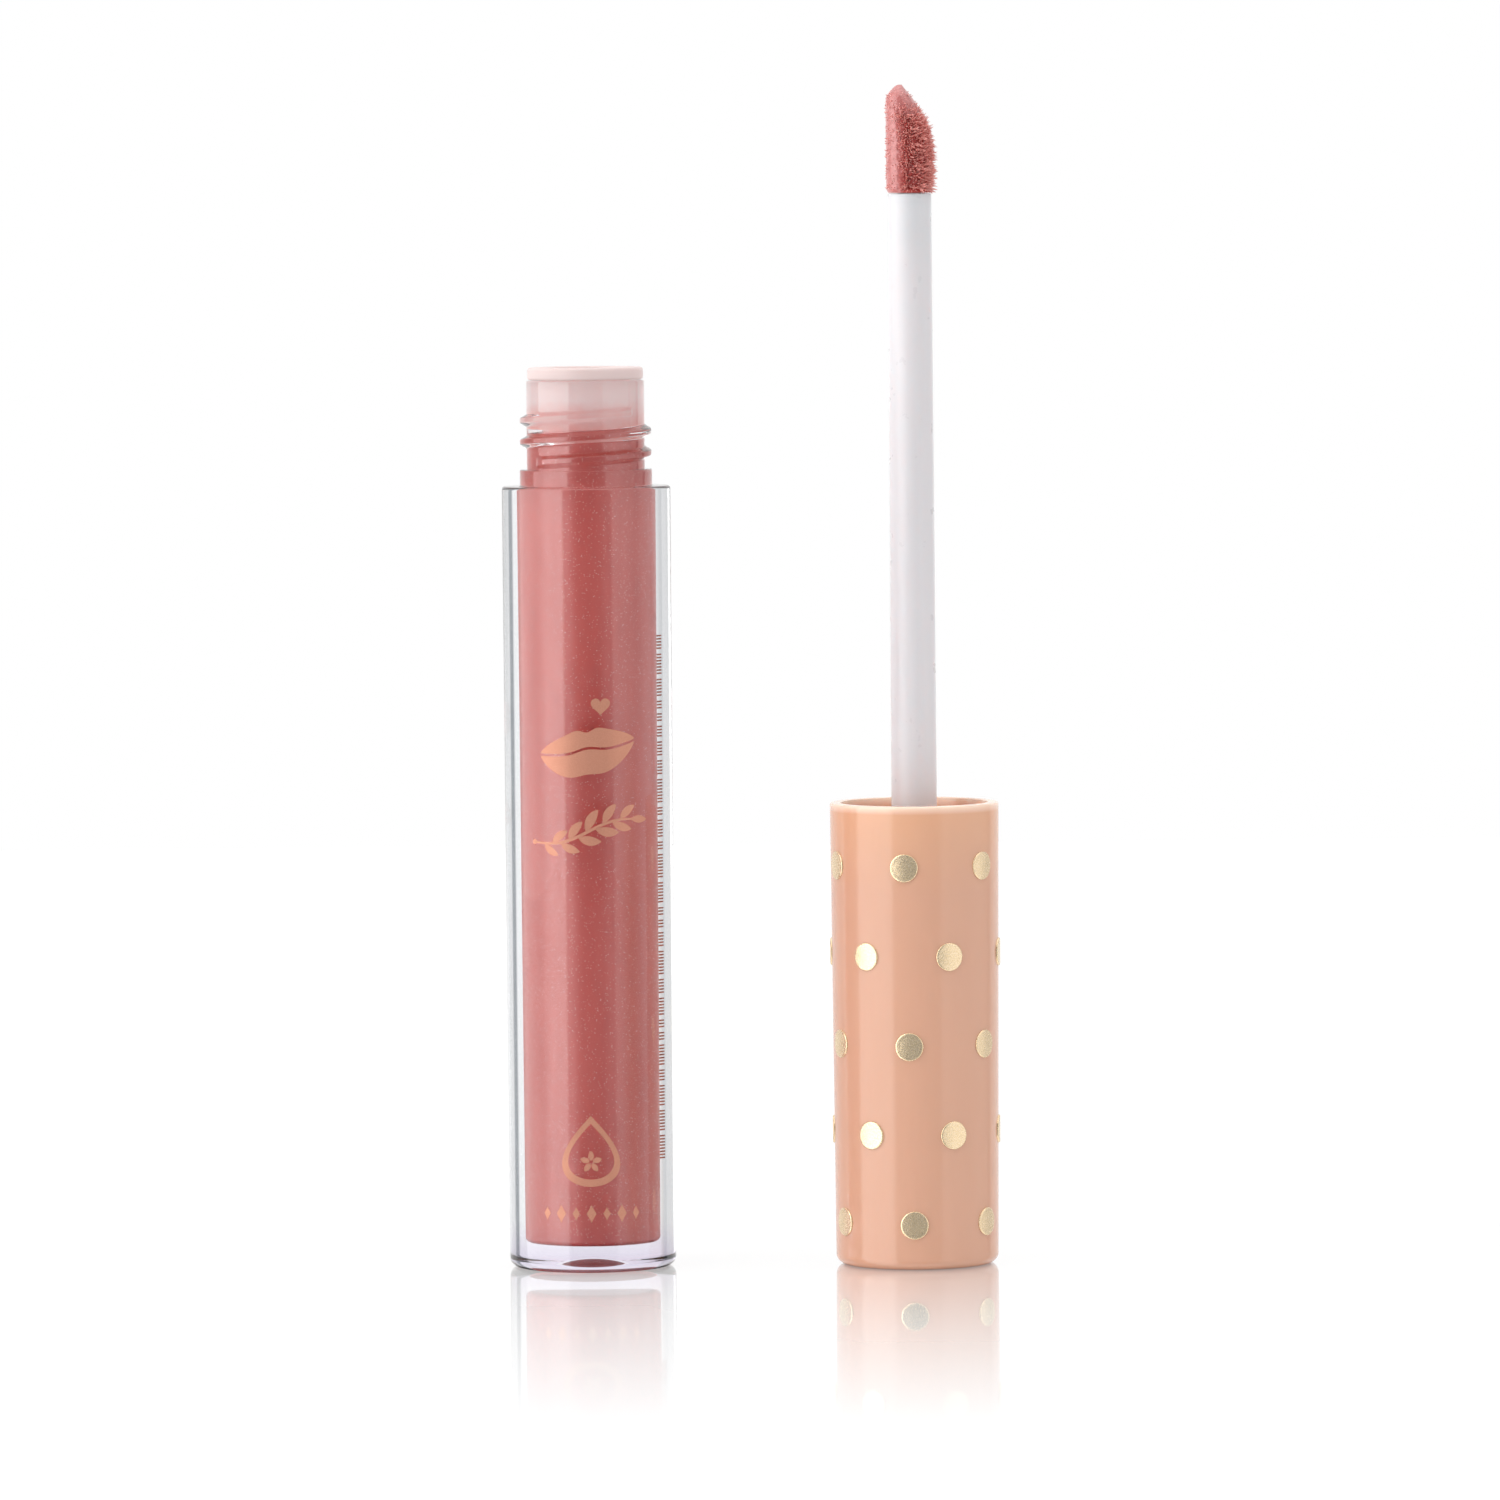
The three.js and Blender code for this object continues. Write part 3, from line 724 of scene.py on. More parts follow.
def cap_radius(height):
    """Outer radius of the tapered cap at a height above its crown, in millimetres."""
    return between(CAP_CROWN_RADIUS, CAP_RIM_RADIUS, height / CAP_LENGTH)


shell_profile = [
    (0, 0),
    *corner(cap_radius(CROWN_ROUNDING), 0, CROWN_ROUNDING, -90, 0, 14),
    *levels(cap_radius(4), 4, cap_radius(42), 42, 6),
    *corner(CAP_RIM_RADIUS, CAP_LENGTH, RIM_ROUNDING, 0, 90),
    *corner(SHELL_BORE, CAP_LENGTH, MOUTH_ROUNDING, 90, 180, 4),
    (SHELL_BORE, SHELL_STEP),
    *corner(SHELL_FLOOR_RADIUS, CROWN_THICKNESS, CROWN_ROUNDING, 0, -90),
    (0, CROWN_THICKNESS),
]
shell = turned("cap_shell_smooth", shell_profile, cap_axis, cap_look, 240)
place(shell, "cap", "peach_plastic", "cap_shell")

# %% [markdown]
# ## The liner with its inner thread
#
# Inside the shell sits a plainer moulding that carries the thread. The same ridge as on the
# bottle's neck is taken away from the radius here, so it stands into the bore, and the mouth has
# a small chamfer that guides the neck in.

# %% Make the liner
LINER_OUTER = 6.97
LINER_BORE = 6.42
LINER_TOP = 42.55
LINER_SEAT = 32.35
LINER_FLOOR = 31.05
BOSS_BOTTOM = 26.25
BOSS_RADIUS = 3.59
STEM_HOLE = 2.29
LINER_MOUTH = 0.2

bottle_thread_start = COLLAR_TOP + THREAD_LIFT - SHOULDER_HEIGHT - 0.05
liner_thread_end = CAP_LENGTH - bottle_thread_start + THREAD_PITCH / 2
liner_thread = screw_ridge(LINER_BORE, liner_thread_end - THREAD_PITCH * THREAD_TURNS, -1)

liner_profile = [
    (STEM_HOLE, BOSS_BOTTOM),
    (BOSS_RADIUS - SMALL_EDGE, BOSS_BOTTOM),
    (BOSS_RADIUS, BOSS_BOTTOM + SMALL_EDGE),
    (BOSS_RADIUS, LINER_FLOOR),
    (LINER_OUTER, LINER_FLOOR),
    (LINER_OUTER, LINER_TOP - SMALL_EDGE),
    (LINER_OUTER - SMALL_EDGE, LINER_TOP),
    (LINER_BORE + LINER_MOUTH, LINER_TOP),
    *levels(LINER_BORE, LINER_TOP - LINER_MOUTH, LINER_BORE, LINER_SEAT, 150),
    (STEM_HOLE, LINER_SEAT),
]
liner = turned("liner_threaded", liner_profile, cap_axis, liner_look, 180, liner_thread, True)
place(liner, "cap", "liner_plastic", "inner_cap")

# %% [markdown]
# ## The sealing washer
#
# A ring of white foam lies in the bottom of the liner. The bottle's mouth has pressed a shallow
# round groove into it.

# %% Make the washer
SEAL_LOW = 32.4
SEAL_HIGH = 33.2
SEAL_INNER = 2.39
SEAL_OUTER = 5.65
GROOVE_RADIUS = 5.0
GROOVE_DEPTH = 0.1

seal_profile = [
    (SEAL_INNER, SEAL_LOW),
    (SEAL_OUTER - 0.05, SEAL_LOW),
    (SEAL_OUTER, SEAL_LOW + 0.05),
    *corner(SEAL_OUTER, SEAL_HIGH, 0.12, 0, 90, 3),
    (GROOVE_RADIUS + 0.4, SEAL_HIGH),
    (GROOVE_RADIUS + 0.2, SEAL_HIGH - GROOVE_DEPTH),
    (GROOVE_RADIUS - 0.5, SEAL_HIGH - GROOVE_DEPTH),
    (GROOVE_RADIUS - 0.7, SEAL_HIGH),
    *corner(SEAL_INNER, SEAL_HIGH, 0.1, 90, 180, 3),
]
seal = turned("seal_washer", seal_profile, cap_axis, foam_look, 160, closed=True)
place(seal, "seal", "seal_foam", "sealing_washer")

# %% [markdown]
# ## The wand
#
# The wand is a tapered rod with a head that is caught under the liner. Its end carries a socket
# for the tip's core, hidden once the tip is in place.

# %% Make the wand
STEM_RADIUS = 2.19
STEM_TIP_RADIUS = 2.08
STEM_HEAD_RADIUS = 3.29
STEM_BOTTOM = 25.3
STEM_HEAD_TOP = 26.2
STEM_TOP = 102.7
SOCKET_RADIUS = 1.25
SOCKET_FLOOR = 97.65

stem_profile = [
    (0, STEM_BOTTOM),
    *corner(STEM_HEAD_RADIUS, STEM_BOTTOM, 0.1, -90, 0, 3),
    *corner(STEM_HEAD_RADIUS, STEM_HEAD_TOP, 0.1, 0, 90, 3),
    (STEM_RADIUS + 0.05, STEM_HEAD_TOP),
    (STEM_RADIUS, STEM_HEAD_TOP + 0.05),
    *levels(STEM_RADIUS, CAP_LENGTH, STEM_TIP_RADIUS, STEM_TOP - 0.12, 12),
    *corner(STEM_TIP_RADIUS, STEM_TOP, 0.12, 0, 90, 4),
    (SOCKET_RADIUS, STEM_TOP),
    (SOCKET_RADIUS, SOCKET_FLOOR),
    (0, SOCKET_FLOOR),
]
wand = turned("wand_rod", stem_profile, cap_axis, wand_look, 128)
place(wand, "cap", "stem_plastic", "wand_stem")

core_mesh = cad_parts["applicator_core"].data
core_mesh.materials.clear()
core_mesh.materials.append(core_look.material)

# %% [markdown]
# ## The flocked tip
#
# The tip is a soft blade, round at its foot and cut away on one side towards its point. Its
# outline is a few formulas: a swelling foot, a straight back, a hollow slant and a rounded end.
# Wet flock is not even. On the back it lies flat under a film of gloss; on the slanted side it
# stands up in small clumps. So the body's skin is sunk and roughened by noise there, to leave
# room for single fibres, and left smooth on the back.

# %% Shape of the tip
TIP_BASE = 102.75
TIP_LENGTH = 10.35
TIP_RADIUS = 2.28
TIP_NECK_RADIUS = 2.06
TIP_SWELL = 0.5
SLANT_START = 3.4
SLANT_DROP = 2.95
SLANT_CURVE = 2.2
END_HEIGHT = 1.3
END_CUT = 1.3
END_CURVE = 1.1
END_ROUNDNESS = 0.5
END_THINNING = 0.85
FILM_FROM = 0.58
FILM_OVER = 0.2
POINT_FROM = 7.0
POINT_OVER = 1.6


def tip_point(height, angle):
    """A point of the tip's skin, in millimetres from the wand's axis and the tip's foot."""
    swell = math.sin(min(1, height / TIP_SWELL) * math.pi / 2)
    radius = between(TIP_NECK_RADIUS, TIP_RADIUS, swell)
    climb = max(0, height - SLANT_START) / (TIP_LENGTH - SLANT_START)
    right = radius - SLANT_DROP * climb ** SLANT_CURVE
    end = max(0, height - (TIP_LENGTH - END_HEIGHT)) / END_HEIGHT
    straight_cut = end ** END_CURVE
    round_cut = 1 - math.sqrt(max(0, 1 - end * end))
    left = -radius + END_CUT * between(straight_cut, round_cut, END_ROUNDNESS)
    middle = (left + right) / 2
    half_width = max(0.02, (right - left) / 2)
    thinning = 1 - END_THINNING * end ** 3
    half_depth = max(0.02, radius * math.sqrt(max(0, right - left) / (2 * radius)) * thinning)
    return Vector((middle + half_width * math.cos(angle), half_depth * math.sin(angle), height))


def tip_outwards(height, angle):
    """The direction that points straight out of the tip's skin."""
    step = 0.01
    top = min(height, TIP_LENGTH - 2 * step)
    along = tip_point(top + step, angle) - tip_point(max(0, top - step), angle)
    around = tip_point(top, angle + step) - tip_point(top, angle - step)
    return around.cross(along).normalized()


def wetness(height, angle):
    """1 where a film of gloss lies over the flock, 0 where the fibres stand free."""
    back = 0.5 - 0.5 * math.cos(angle)
    return min(1, max(0, (back - FILM_FROM) / FILM_OVER, (height - POINT_FROM) / POINT_OVER))


print("tip", TIP_LENGTH, "mm long")

# %% Make the flocked tip
TIP_ROWS = 200
TIP_SEGMENTS = 220
CLUMP_SIZE = 0.34
CLUMP_HEIGHT = 0.26
FREE_SIDE_SINK = 0.2
CLUMPS_UNDER_FILM = 0.16
FOOT_FADE = 0.25
POINT_FADE = 0.3
SKIN_SINK = 0.02


def clump(point):
    """Height of the wet clumps of fibre at a point, 0 to 1."""
    distances, _ = noise.voronoi(point / CLUMP_SIZE)
    lump = min(1, max(0, 1 - distances[0] * 1.5))
    ripple = 0.5 + 0.5 * noise.noise(point * 5.2)
    return 0.75 * lump + 0.25 * ripple


tip_vertices = []
axis = Vector((cap_axis[0], cap_axis[1], TIP_BASE * MM))
for row in range(TIP_ROWS + 1):
    height = TIP_LENGTH * math.sin(row / TIP_ROWS * math.pi / 2)
    for i in range(TIP_SEGMENTS):
        angle = 2 * math.pi * i / TIP_SEGMENTS
        skin = tip_point(height, angle)
        standing = 1 - wetness(height, angle)
        ends = min(1, height / FOOT_FADE) * min(1, (TIP_LENGTH - height) / POINT_FADE)
        lift = CLUMP_HEIGHT * (clump(skin) - 1.0) * between(CLUMPS_UNDER_FILM, 1, standing)
        lift = (lift - FREE_SIDE_SINK * standing) * ends
        skin = skin + tip_outwards(height, angle) * (lift - SKIN_SINK)
        tip_vertices.append(axis + skin * MM)
tip_rings = rings(TIP_ROWS + 1, TIP_SEGMENTS)
tip_faces = [*joined(tip_rings), tip_rings[0][::-1], tip_rings[-1]]
tip = finish_mesh("tip_flock", tip_vertices, tip_faces, wet_look)
place(tip, "cap", "flock_fibre", "flocking")

# %% [markdown]
# Single fibres are what makes flock read as flock at its edge. They are short pointed hairs,
# thousands of them, all in one mesh. Where the tip is wet they are few and lie down; on the
# free side they stand up, and some stick together into thicker, longer tufts. Both the random
# numbers and the noise that bends the hairs are seeded, so every run grows the same tip.

# %% Make the fibres
FIBRES = 2600
FIBRE_LENGTH = 0.66
FIBRE_RADIUS = 0.046
TUFT_SHARE = 0.17
TUFT_LENGTH = 1.0
TUFT_RADIUS = 0.1
TUFT_TAPER = 0.7
FIBRE_CORNERS = 5
FIBRE_RINGS = ((0, 1.0), (0.6, 0.95), (0.88, 0.62))
FIBRE_DRIFT = 0.9
FIBRE_SCATTER = 0.28
SHORTEST_SHARE = 0.62
NUMBER_ON_FILM = 0.12
LEAN_ON_FILM = 0.35
LENGTH_ON_FILM = 0.3
ROOT_DEPTH = 0.05

fibre_random = random.Random(7)
noise.seed_set(7)
fibre_vertices = []
fibre_faces = []
while len(fibre_vertices) < FIBRES * (FIBRE_CORNERS * len(FIBRE_RINGS) + 1):
    height = fibre_random.uniform(0.08, TIP_LENGTH - 0.6)
    angle = fibre_random.uniform(0, 2 * math.pi)
    standing = 1 - wetness(height, angle)
    if fibre_random.random() > between(NUMBER_ON_FILM, 1, standing):
        continue
    skin = tip_point(height, angle)
    outwards = tip_outwards(height, angle)
    drift = noise.noise_vector(skin * 1.9) * FIBRE_DRIFT
    scatter = Vector([fibre_random.gauss(0, FIBRE_SCATTER) for _ in range(3)])
    lean = (outwards * between(LEAN_ON_FILM, 1, standing) + (drift + scatter) * 0.5).normalized()
    tuft = fibre_random.random() < TUFT_SHARE * standing
    length = (TUFT_LENGTH if tuft else FIBRE_LENGTH) * fibre_random.uniform(SHORTEST_SHARE, 1.0)
    length = length * between(LENGTH_ON_FILM, 1, standing)
    thick = TUFT_RADIUS if tuft else FIBRE_RADIUS
    taper = TUFT_TAPER if tuft else 0
    root = skin - outwards * (ROOT_DEPTH + (CLUMP_HEIGHT * 0.6 + FREE_SIDE_SINK) * standing)
    reach = min(length, TIP_LENGTH - 0.05 - height)
    side = lean.orthogonal().normalized()
    other = lean.cross(side)
    start = len(fibre_vertices)
    for share, thickness in FIBRE_RINGS:
        for i in range(FIBRE_CORNERS):
            turn = i * 2 * math.pi / FIBRE_CORNERS
            radius = thick * thickness * (1 - taper * share)
            offset = (side * math.cos(turn) + other * math.sin(turn)) * radius
            fibre_vertices.append(axis + (root + lean * reach * share + offset) * MM)
    fibre_vertices.append(axis + (root + lean * reach) * MM)
    fibre_rings = rings(len(FIBRE_RINGS), FIBRE_CORNERS, start)
    fibre_faces += [*joined([*fibre_rings, [len(fibre_vertices) - 1]]), fibre_rings[0][::-1]]
fibres = finish_mesh("tip_fibres", fibre_vertices, fibre_faces, fibre_look)
place(fibres, "cap", "flock_fibre")

# %% [markdown]
# ## Foil dots
#
# Thirty round dots are stamped on the cap. Each follows the curve of the wall, with a slightly
# domed face and a rolled edge, so that its rim catches a thin dark or bright line. A dot is a
# stack of rings on the wall's surface, closed underneath.

# %% Make the foil dots
DOT_ROWS = 5
DOTS_PER_ROW = 6
DOT_RADIUS = 1.35
DOT_HEIGHT = 0.17
DOT_TOP_ROW = 38.55
DOT_PITCH = 8.55
DOT_FIRST_ANGLE = -98.3
DOT_DRIFT = 1.4
DOT_SEGMENTS = 64
DOT_RINGS = ((1.0, -0.02), (1.0, 0.45), (0.985, 0.72), (0.955, 0.9), (0.915, 0.99), (0.87, 1.0),
             (0.8, 0.965), (0.6, 0.975), (0.4, 0.985), (0.2, 0.995))


def foil_dot(row, column):
    """One dot, wrapped on the cap's wall."""
    height = DOT_TOP_ROW - row * DOT_PITCH
    stagger = 180 / DOTS_PER_ROW if row % 2 else 0
    centre = DOT_FIRST_ANGLE + column * 360 / DOTS_PER_ROW + stagger + row * DOT_DRIFT

    def on_wall(along, up, lift):
        radius = cap_radius(height + up)
        angle = math.radians(centre) + along / radius
        reach = (radius + lift) * MM
        x = cap_axis[0] + reach * math.cos(angle)
        y = cap_axis[1] + reach * math.sin(angle)
        return (x, y, (height + up) * MM)

    vertices = []
    for share, lift in DOT_RINGS:
        for i in range(DOT_SEGMENTS):
            turn = 2 * math.pi * i / DOT_SEGMENTS
            wobble = 1 + 0.004 * math.sin(3 * turn + row) + 0.003 * math.sin(7 * turn + column)
            size = DOT_RADIUS * share * wobble
            vertices.append(on_wall(size * math.cos(turn), size * math.sin(turn), lift * DOT_HEIGHT))
    vertices.append(on_wall(0, 0, DOT_HEIGHT))
    vertices.append(on_wall(0, 0, DOT_RINGS[0][1] * DOT_HEIGHT))
    under, over = [len(vertices) - 1], [len(vertices) - 2]
    faces = joined([under, *rings(len(DOT_RINGS), DOT_SEGMENTS), over])
    name = f"dot_{row + 1}_{column + 1}"
    dot = finish_mesh(name, vertices, faces, gold_look)
    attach(dot, "cap")
    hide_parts("foil_" + name)


for row in range(DOT_ROWS):
    for column in range(DOTS_PER_ROW):
        foil_dot(row, column)
print(DOT_ROWS * DOTS_PER_ROW, "foil dots")

# %% [markdown]
# ## Printed foil on the bottle
#
# The bottle carries a hot-stamped ornament: a pair of lips over a leafy sprig, a drop near the
# foot and a row of small diamonds. Every shape is a ribbon between two edges drawn on the
# unrolled wall, with millimetres sideways and upwards. The ribbon is then wrapped on the wall
# and given a hair of thickness, because a foil is a layer on the plastic and not a colour in it.

# %% Helpers for printed shapes
FOIL_RISE = 0.02
FOIL_ROOT = 0.012


def on_bottle(along, height, lift, front):
    """A point on the bottle's wall: along is measured round the wall from the front."""
    radius = between(FOOT_RADIUS, SHOULDER_RADIUS, height / SHOULDER_HEIGHT)
    angle = math.radians(front) + along / radius
    x = bottle_axis[0] + (radius + lift) * MM * math.cos(angle)
    y = bottle_axis[1] + (radius + lift) * MM * math.sin(angle)
    return (x, y, height * MM)


class Foil:
    """Thin shapes on the bottle's wall, which are pressed on as one piece."""

    def __init__(self, front=-90):
        self.front = front
        self.vertices = []
        self.faces = []

    def ribbon(self, left, right, across=3, loop=False):
        """Adds a wrapped band between two edges of (along, height) points."""
        over = [(k / across, FOIL_RISE) for k in range(across + 1)]
        around = over + [(share, -FOIL_ROOT) for share, _ in reversed(over)]
        steps = rings(len(left), len(around), len(self.vertices))
        for a, b in zip(left, right):
            for share, lift in around:
                along = between(a[0], b[0], share)
                height = between(a[1], b[1], share)
                self.vertices.append(on_bottle(along, height, lift, self.front))
        self.faces += joined(steps, loop)
        if not loop:
            self.faces += [steps[0][::-1], steps[-1]]

    def stroke(self, path, width, thin=0.1):
        """A pen stroke along a path: thin at both ends and widest between them."""
        path = np.array(path)
        direction = np.gradient(path, axis=0)
        direction = direction / np.linalg.norm(direction, axis=1)[:, None]
        across = np.stack([-direction[:, 1], direction[:, 0]], axis=1)
        share = np.linspace(0, 1, len(path))
        half = (thin + (width - thin) * np.sin(np.pi * share) ** 0.8) / 2
        self.ribbon(path + across * half[:, None], path - across * half[:, None])

    def press(self, name):
        piece = finish_mesh(name, self.vertices, self.faces, print_look)
        return place(piece, "bottle", "print_foil")


print("print helpers ready")

# %% Print the lips and the heart
LIPS_HEIGHT = 50.3
LIPS_HALF_WIDTH = 4.7
LIPS_TILT = 0.14
UPPER_LIP = 2.0
LOWER_LIP = 2.35
LIP_GAP = 0.24
HEART_PLACE = (1.3, 54.3)
HEART_SIZE = 0.058
PARTING_SAG = 0.5
PARTING_PEAK = 0.45
BOW_NOTCH = 0.32
LIP_EDGE = 0.03

lips = Foil()
share = np.linspace(-0.995, 0.995, 90)
taper = 1 - share ** 2
parting = LIPS_HEIGHT + LIPS_TILT * share * LIPS_HALF_WIDTH - PARTING_SAG * taper
parting = parting + PARTING_PEAK * np.exp(-(share / 0.3) ** 2)
bow = taper ** 0.8 * (1 - BOW_NOTCH * np.exp(-(share / 0.16) ** 2))
upper_edge = parting + LIP_GAP / 2 + LIP_EDGE + UPPER_LIP * bow
lower_edge = parting - LIP_GAP / 2 - LIP_EDGE - LOWER_LIP * taper ** 0.75
along = share * LIPS_HALF_WIDTH
lips.ribbon(list(zip(along, upper_edge)), list(zip(along, parting + LIP_GAP / 2)), 4)
lips.ribbon(list(zip(along, parting - LIP_GAP / 2)), list(zip(along, lower_edge)), 4)
turn = np.linspace(0, math.pi, 48)
heart_u = HEART_SIZE * 16 * np.sin(turn) ** 3
heart_v = HEART_SIZE * (13 * np.cos(turn) - 5 * np.cos(2 * turn) - 2 * np.cos(3 * turn) - np.cos(4 * turn))
seam_v = np.linspace(heart_v[0], heart_v[-1], len(turn))
for side in (-1, 1):
    seam = [(HEART_PLACE[0] - side * 0.005, HEART_PLACE[1] + v) for v in seam_v]
    outline = list(zip(HEART_PLACE[0] + side * heart_u, HEART_PLACE[1] + heart_v))
    lips.ribbon(seam, outline, 5)
lips.press("print_lips")

# %% Print the leafy sprig
SPRIG_MIDDLE = 42.3
SPRIG_HALF = 5.2
SPRIG_RISE = 0.2
SPRIG_WAVE = 0.5
LEAVES_PER_SIDE = 5
LEAF_LENGTH = 2.5
LEAF_WIDTH = 0.95
LEAF_ANGLE = 50
LEAF_BEND = 0.3
LEAF_SHORTENING = 0.32
FIRST_LEAF = -0.84
END_LEAF_LENGTH = 1.9
SPRIG_END = 0.24


def sprig_point(share):
    """The sprig's stem: a slight S that climbs from left to right."""
    u = share * SPRIG_HALF
    return (u, SPRIG_MIDDLE + SPRIG_RISE * u + SPRIG_WAVE * math.sin(share * math.pi))


def leaf(share, side, length):
    """A pointed leaf that leaves the stem to one side and bends forward."""
    before = sprig_point(share - 0.01)
    after = sprig_point(share + 0.01)
    heading = math.atan2(after[1] - before[1], after[0] - before[0])
    root = sprig_point(share)
    path = []
    for reach in np.linspace(0.06, 1, 26):
        bend = heading + side * math.radians(LEAF_ANGLE) * (1 - LEAF_BEND * reach)
        path.append((root[0] + length * reach * math.cos(bend), root[1] + length * reach * math.sin(bend)))
    sprig.stroke(path, LEAF_WIDTH * length / LEAF_LENGTH, 0.04)


sprig = Foil()
sprig.stroke([sprig_point(t) for t in np.linspace(-1.05, 0.85, 90)], 0.3, 0.16)
spacing = 1.6 / LEAVES_PER_SIDE
for step in range(LEAVES_PER_SIDE):
    for side in (-1, 1):
        share = FIRST_LEAF + spacing * (step + (0.5 if side > 0 else 0))
        leaf(share, side, LEAF_LENGTH * (1 - LEAF_SHORTENING * abs(share)))
leaf(0.8, 0, END_LEAF_LENGTH)
end_u, end_v = sprig_point(-1.06)
turn = np.linspace(0.05, math.pi - 0.05, 22)
end_left, end_right = [
    [(end_u + side * SPRIG_END * math.sin(t), end_v + SPRIG_END * math.cos(t)) for t in turn]
    for side in (-1, 1)
]
sprig.ribbon(end_left, end_right, 4)
sprig.press("print_sprig")

# %% Print the drop and the diamonds
DROP_HEIGHT = 11.6
DROP_SIZE = 3.1
DROP_LINE = 0.66
DROP_WIDTH = 1.22
DROP_LENGTH = 1.1
DROP_POINT = 1.15
PETALS = 5
PETAL_REACH = (0.18, 1.05)
PETAL_HALF_WIDTH = 0.27
FLOWER_SINK = 0.9
DIAMONDS = 7
DIAMOND_PITCH = 1.48
DIAMOND_HEIGHT = 5.75
DIAMOND_SIZES = (0.62, 0.85)
DIAMOND_WIDTH = 0.55

drop = Foil()
turn = np.linspace(0, 2 * math.pi, 120, endpoint=False)


def drop_outline(size):
    """A falling drop: round below, drawn to a point above."""
    u = size * DROP_WIDTH * np.sin(turn) * np.sin(turn / 2) ** DROP_POINT
    v = DROP_HEIGHT + size * (0.05 + DROP_LENGTH * np.cos(turn))
    return list(zip(u, v))


drop.ribbon(drop_outline(DROP_SIZE), drop_outline(DROP_SIZE - DROP_LINE), 2, True)
for petal in range(PETALS):
    direction = math.radians(90 + 360 / PETALS * petal)
    reach = np.linspace(*PETAL_REACH, 24)
    width = PETAL_HALF_WIDTH * np.sin(np.pi * (reach - 0.1)) ** 0.8
    aside = (-math.sin(direction), math.cos(direction))
    u = reach * math.cos(direction)
    v = DROP_HEIGHT - FLOWER_SINK + reach * math.sin(direction)
    left, right = [list(zip(u + w * aside[0], v + w * aside[1])) for w in (width, -width)]
    drop.ribbon(left, right, 2)
rise = np.linspace(-1, 1, 15)
for place_in_row in range(DIAMONDS):
    middle = (place_in_row - (DIAMONDS - 1) / 2) * DIAMOND_PITCH
    size = DIAMOND_SIZES[place_in_row % 2]
    half = DIAMOND_WIDTH * size * (1 - np.abs(rise)) ** 1.25 + 0.02
    left, right = [list(zip(middle + side * half, DIAMOND_HEIGHT + rise * size)) for side in (-1, 1)]
    drop.ribbon(left, right, 3)
drop.press("print_drop")

# %% [markdown]
# ## Small print at the back
#
# Round the back, tubes of this kind carry a panel of small print. Here it is only rows of equal
# plain bars. From the front it shows at the right edge, bent by the clear wall.

# %% Print the small bars
PANEL_FRONT = 54.2
PANEL_LINES = 9
PANEL_PITCH = 0.98
PANEL_LOW = 7.0
PANEL_HIGH = 69.0
BAR_HALF = 0.17
BAR_THICK = 0.15
BAR_STEP = 0.3
BARS_IN_GROUP = (3, 9)

bar_random = random.Random(11)
bars = Foil(PANEL_FRONT)
for line in range(PANEL_LINES):
    middle = (line - (PANEL_LINES - 1) / 2) * PANEL_PITCH
    height = PANEL_LOW + (bar_random.uniform(0, 3) if line % 3 else 0)
    end = PANEL_HIGH - bar_random.uniform(0, 14 if line % 3 == 2 else 3)
    while height < end:
        for _ in range(bar_random.randint(*BARS_IN_GROUP)):
            ends = (height, height + BAR_THICK)
            left, right = [[(middle + side * BAR_HALF, z) for z in ends] for side in (-1, 1)]
            bars.ribbon(left, right, 1)
            height += BAR_STEP
        height += BAR_STEP
bars.press("print_small_bars")

# %% [markdown]
# ## Gloss film in the wiper
#
# A wand has been drawn out through the wiper, so a thin uneven film of gloss stays on the inside
# of its throat, above the lip.

# %% Make the film
FILM_LOW = WIPER_BOTTOM + WIPER_CONE + 0.1
FILM_HIGH = 81.7
FILM_BACK = throat_radius + 0.02
FILM_FACE = throat_radius - 0.06


def smear(angles, radius, height):
    """The film's inner face is pushed out and in by slow noise, most of all near its top."""
    if radius > throat_radius:
        return np.zeros_like(angles)
    climb = (height - FILM_LOW) / (FILM_HIGH - FILM_LOW)
    rough = [noise.noise(Vector((math.cos(a) * 2.2, math.sin(a) * 2.2, height * 0.55))) for a in angles]
    return np.clip(0.11 * np.array(rough) + 0.12 * climb - 0.03, -0.09, 0.06)


film_steps = levels(FILM_FACE, FILM_HIGH, FILM_FACE, FILM_LOW, 40)
smear_profile = [(FILM_BACK, FILM_LOW), (FILM_BACK, FILM_HIGH), *film_steps]
smear_piece = turned("gloss_smear", smear_profile, bottle_axis, gloss_look, 96, smear, True)
place(smear_piece, "bottle", "gloss_liquid")

# %% [markdown]
# ## The table
#
# The table is a large white plane. Seen straight, it has a faint shine just round the two pieces,
# which fades outwards, so a mirror is mixed in by a share that falls with the distance. Light that
# comes to it from another surface sees a well polished top: that keeps the undersides and the
# clear foot from looking at a flat white, and they mirror the bright and dark parts of the studio.

# %% Make the table
FLOOR_HALF = 0.6
FLOOR_DROP = 0.02 * MM
PIECES_ASIDE = 15.6 * MM
FLOOR_BASE = 0.24
FLOOR_GLOW = 0.76
SHINE_FAR = 140 * MM
SHINE_MOST = 0.8
SHINE_LEFT = 0.7
SHINE_BLEND = 10 * MM
POLISH = 0.85

floor_mesh = bpy.data.meshes.new("floor")
corners = [(x * FLOOR_HALF, y * FLOOR_HALF) for x, y in ((-1, -1), (1, -1), (1, 1), (-1, 1))]
floor_mesh.from_pydata([(x, y, -FLOOR_DROP) for x, y in corners], [], [(0, 1, 2, 3)])
floor = bpy.data.objects.new("floor", floor_mesh)
bpy.context.scene.collection.objects.link(floor)

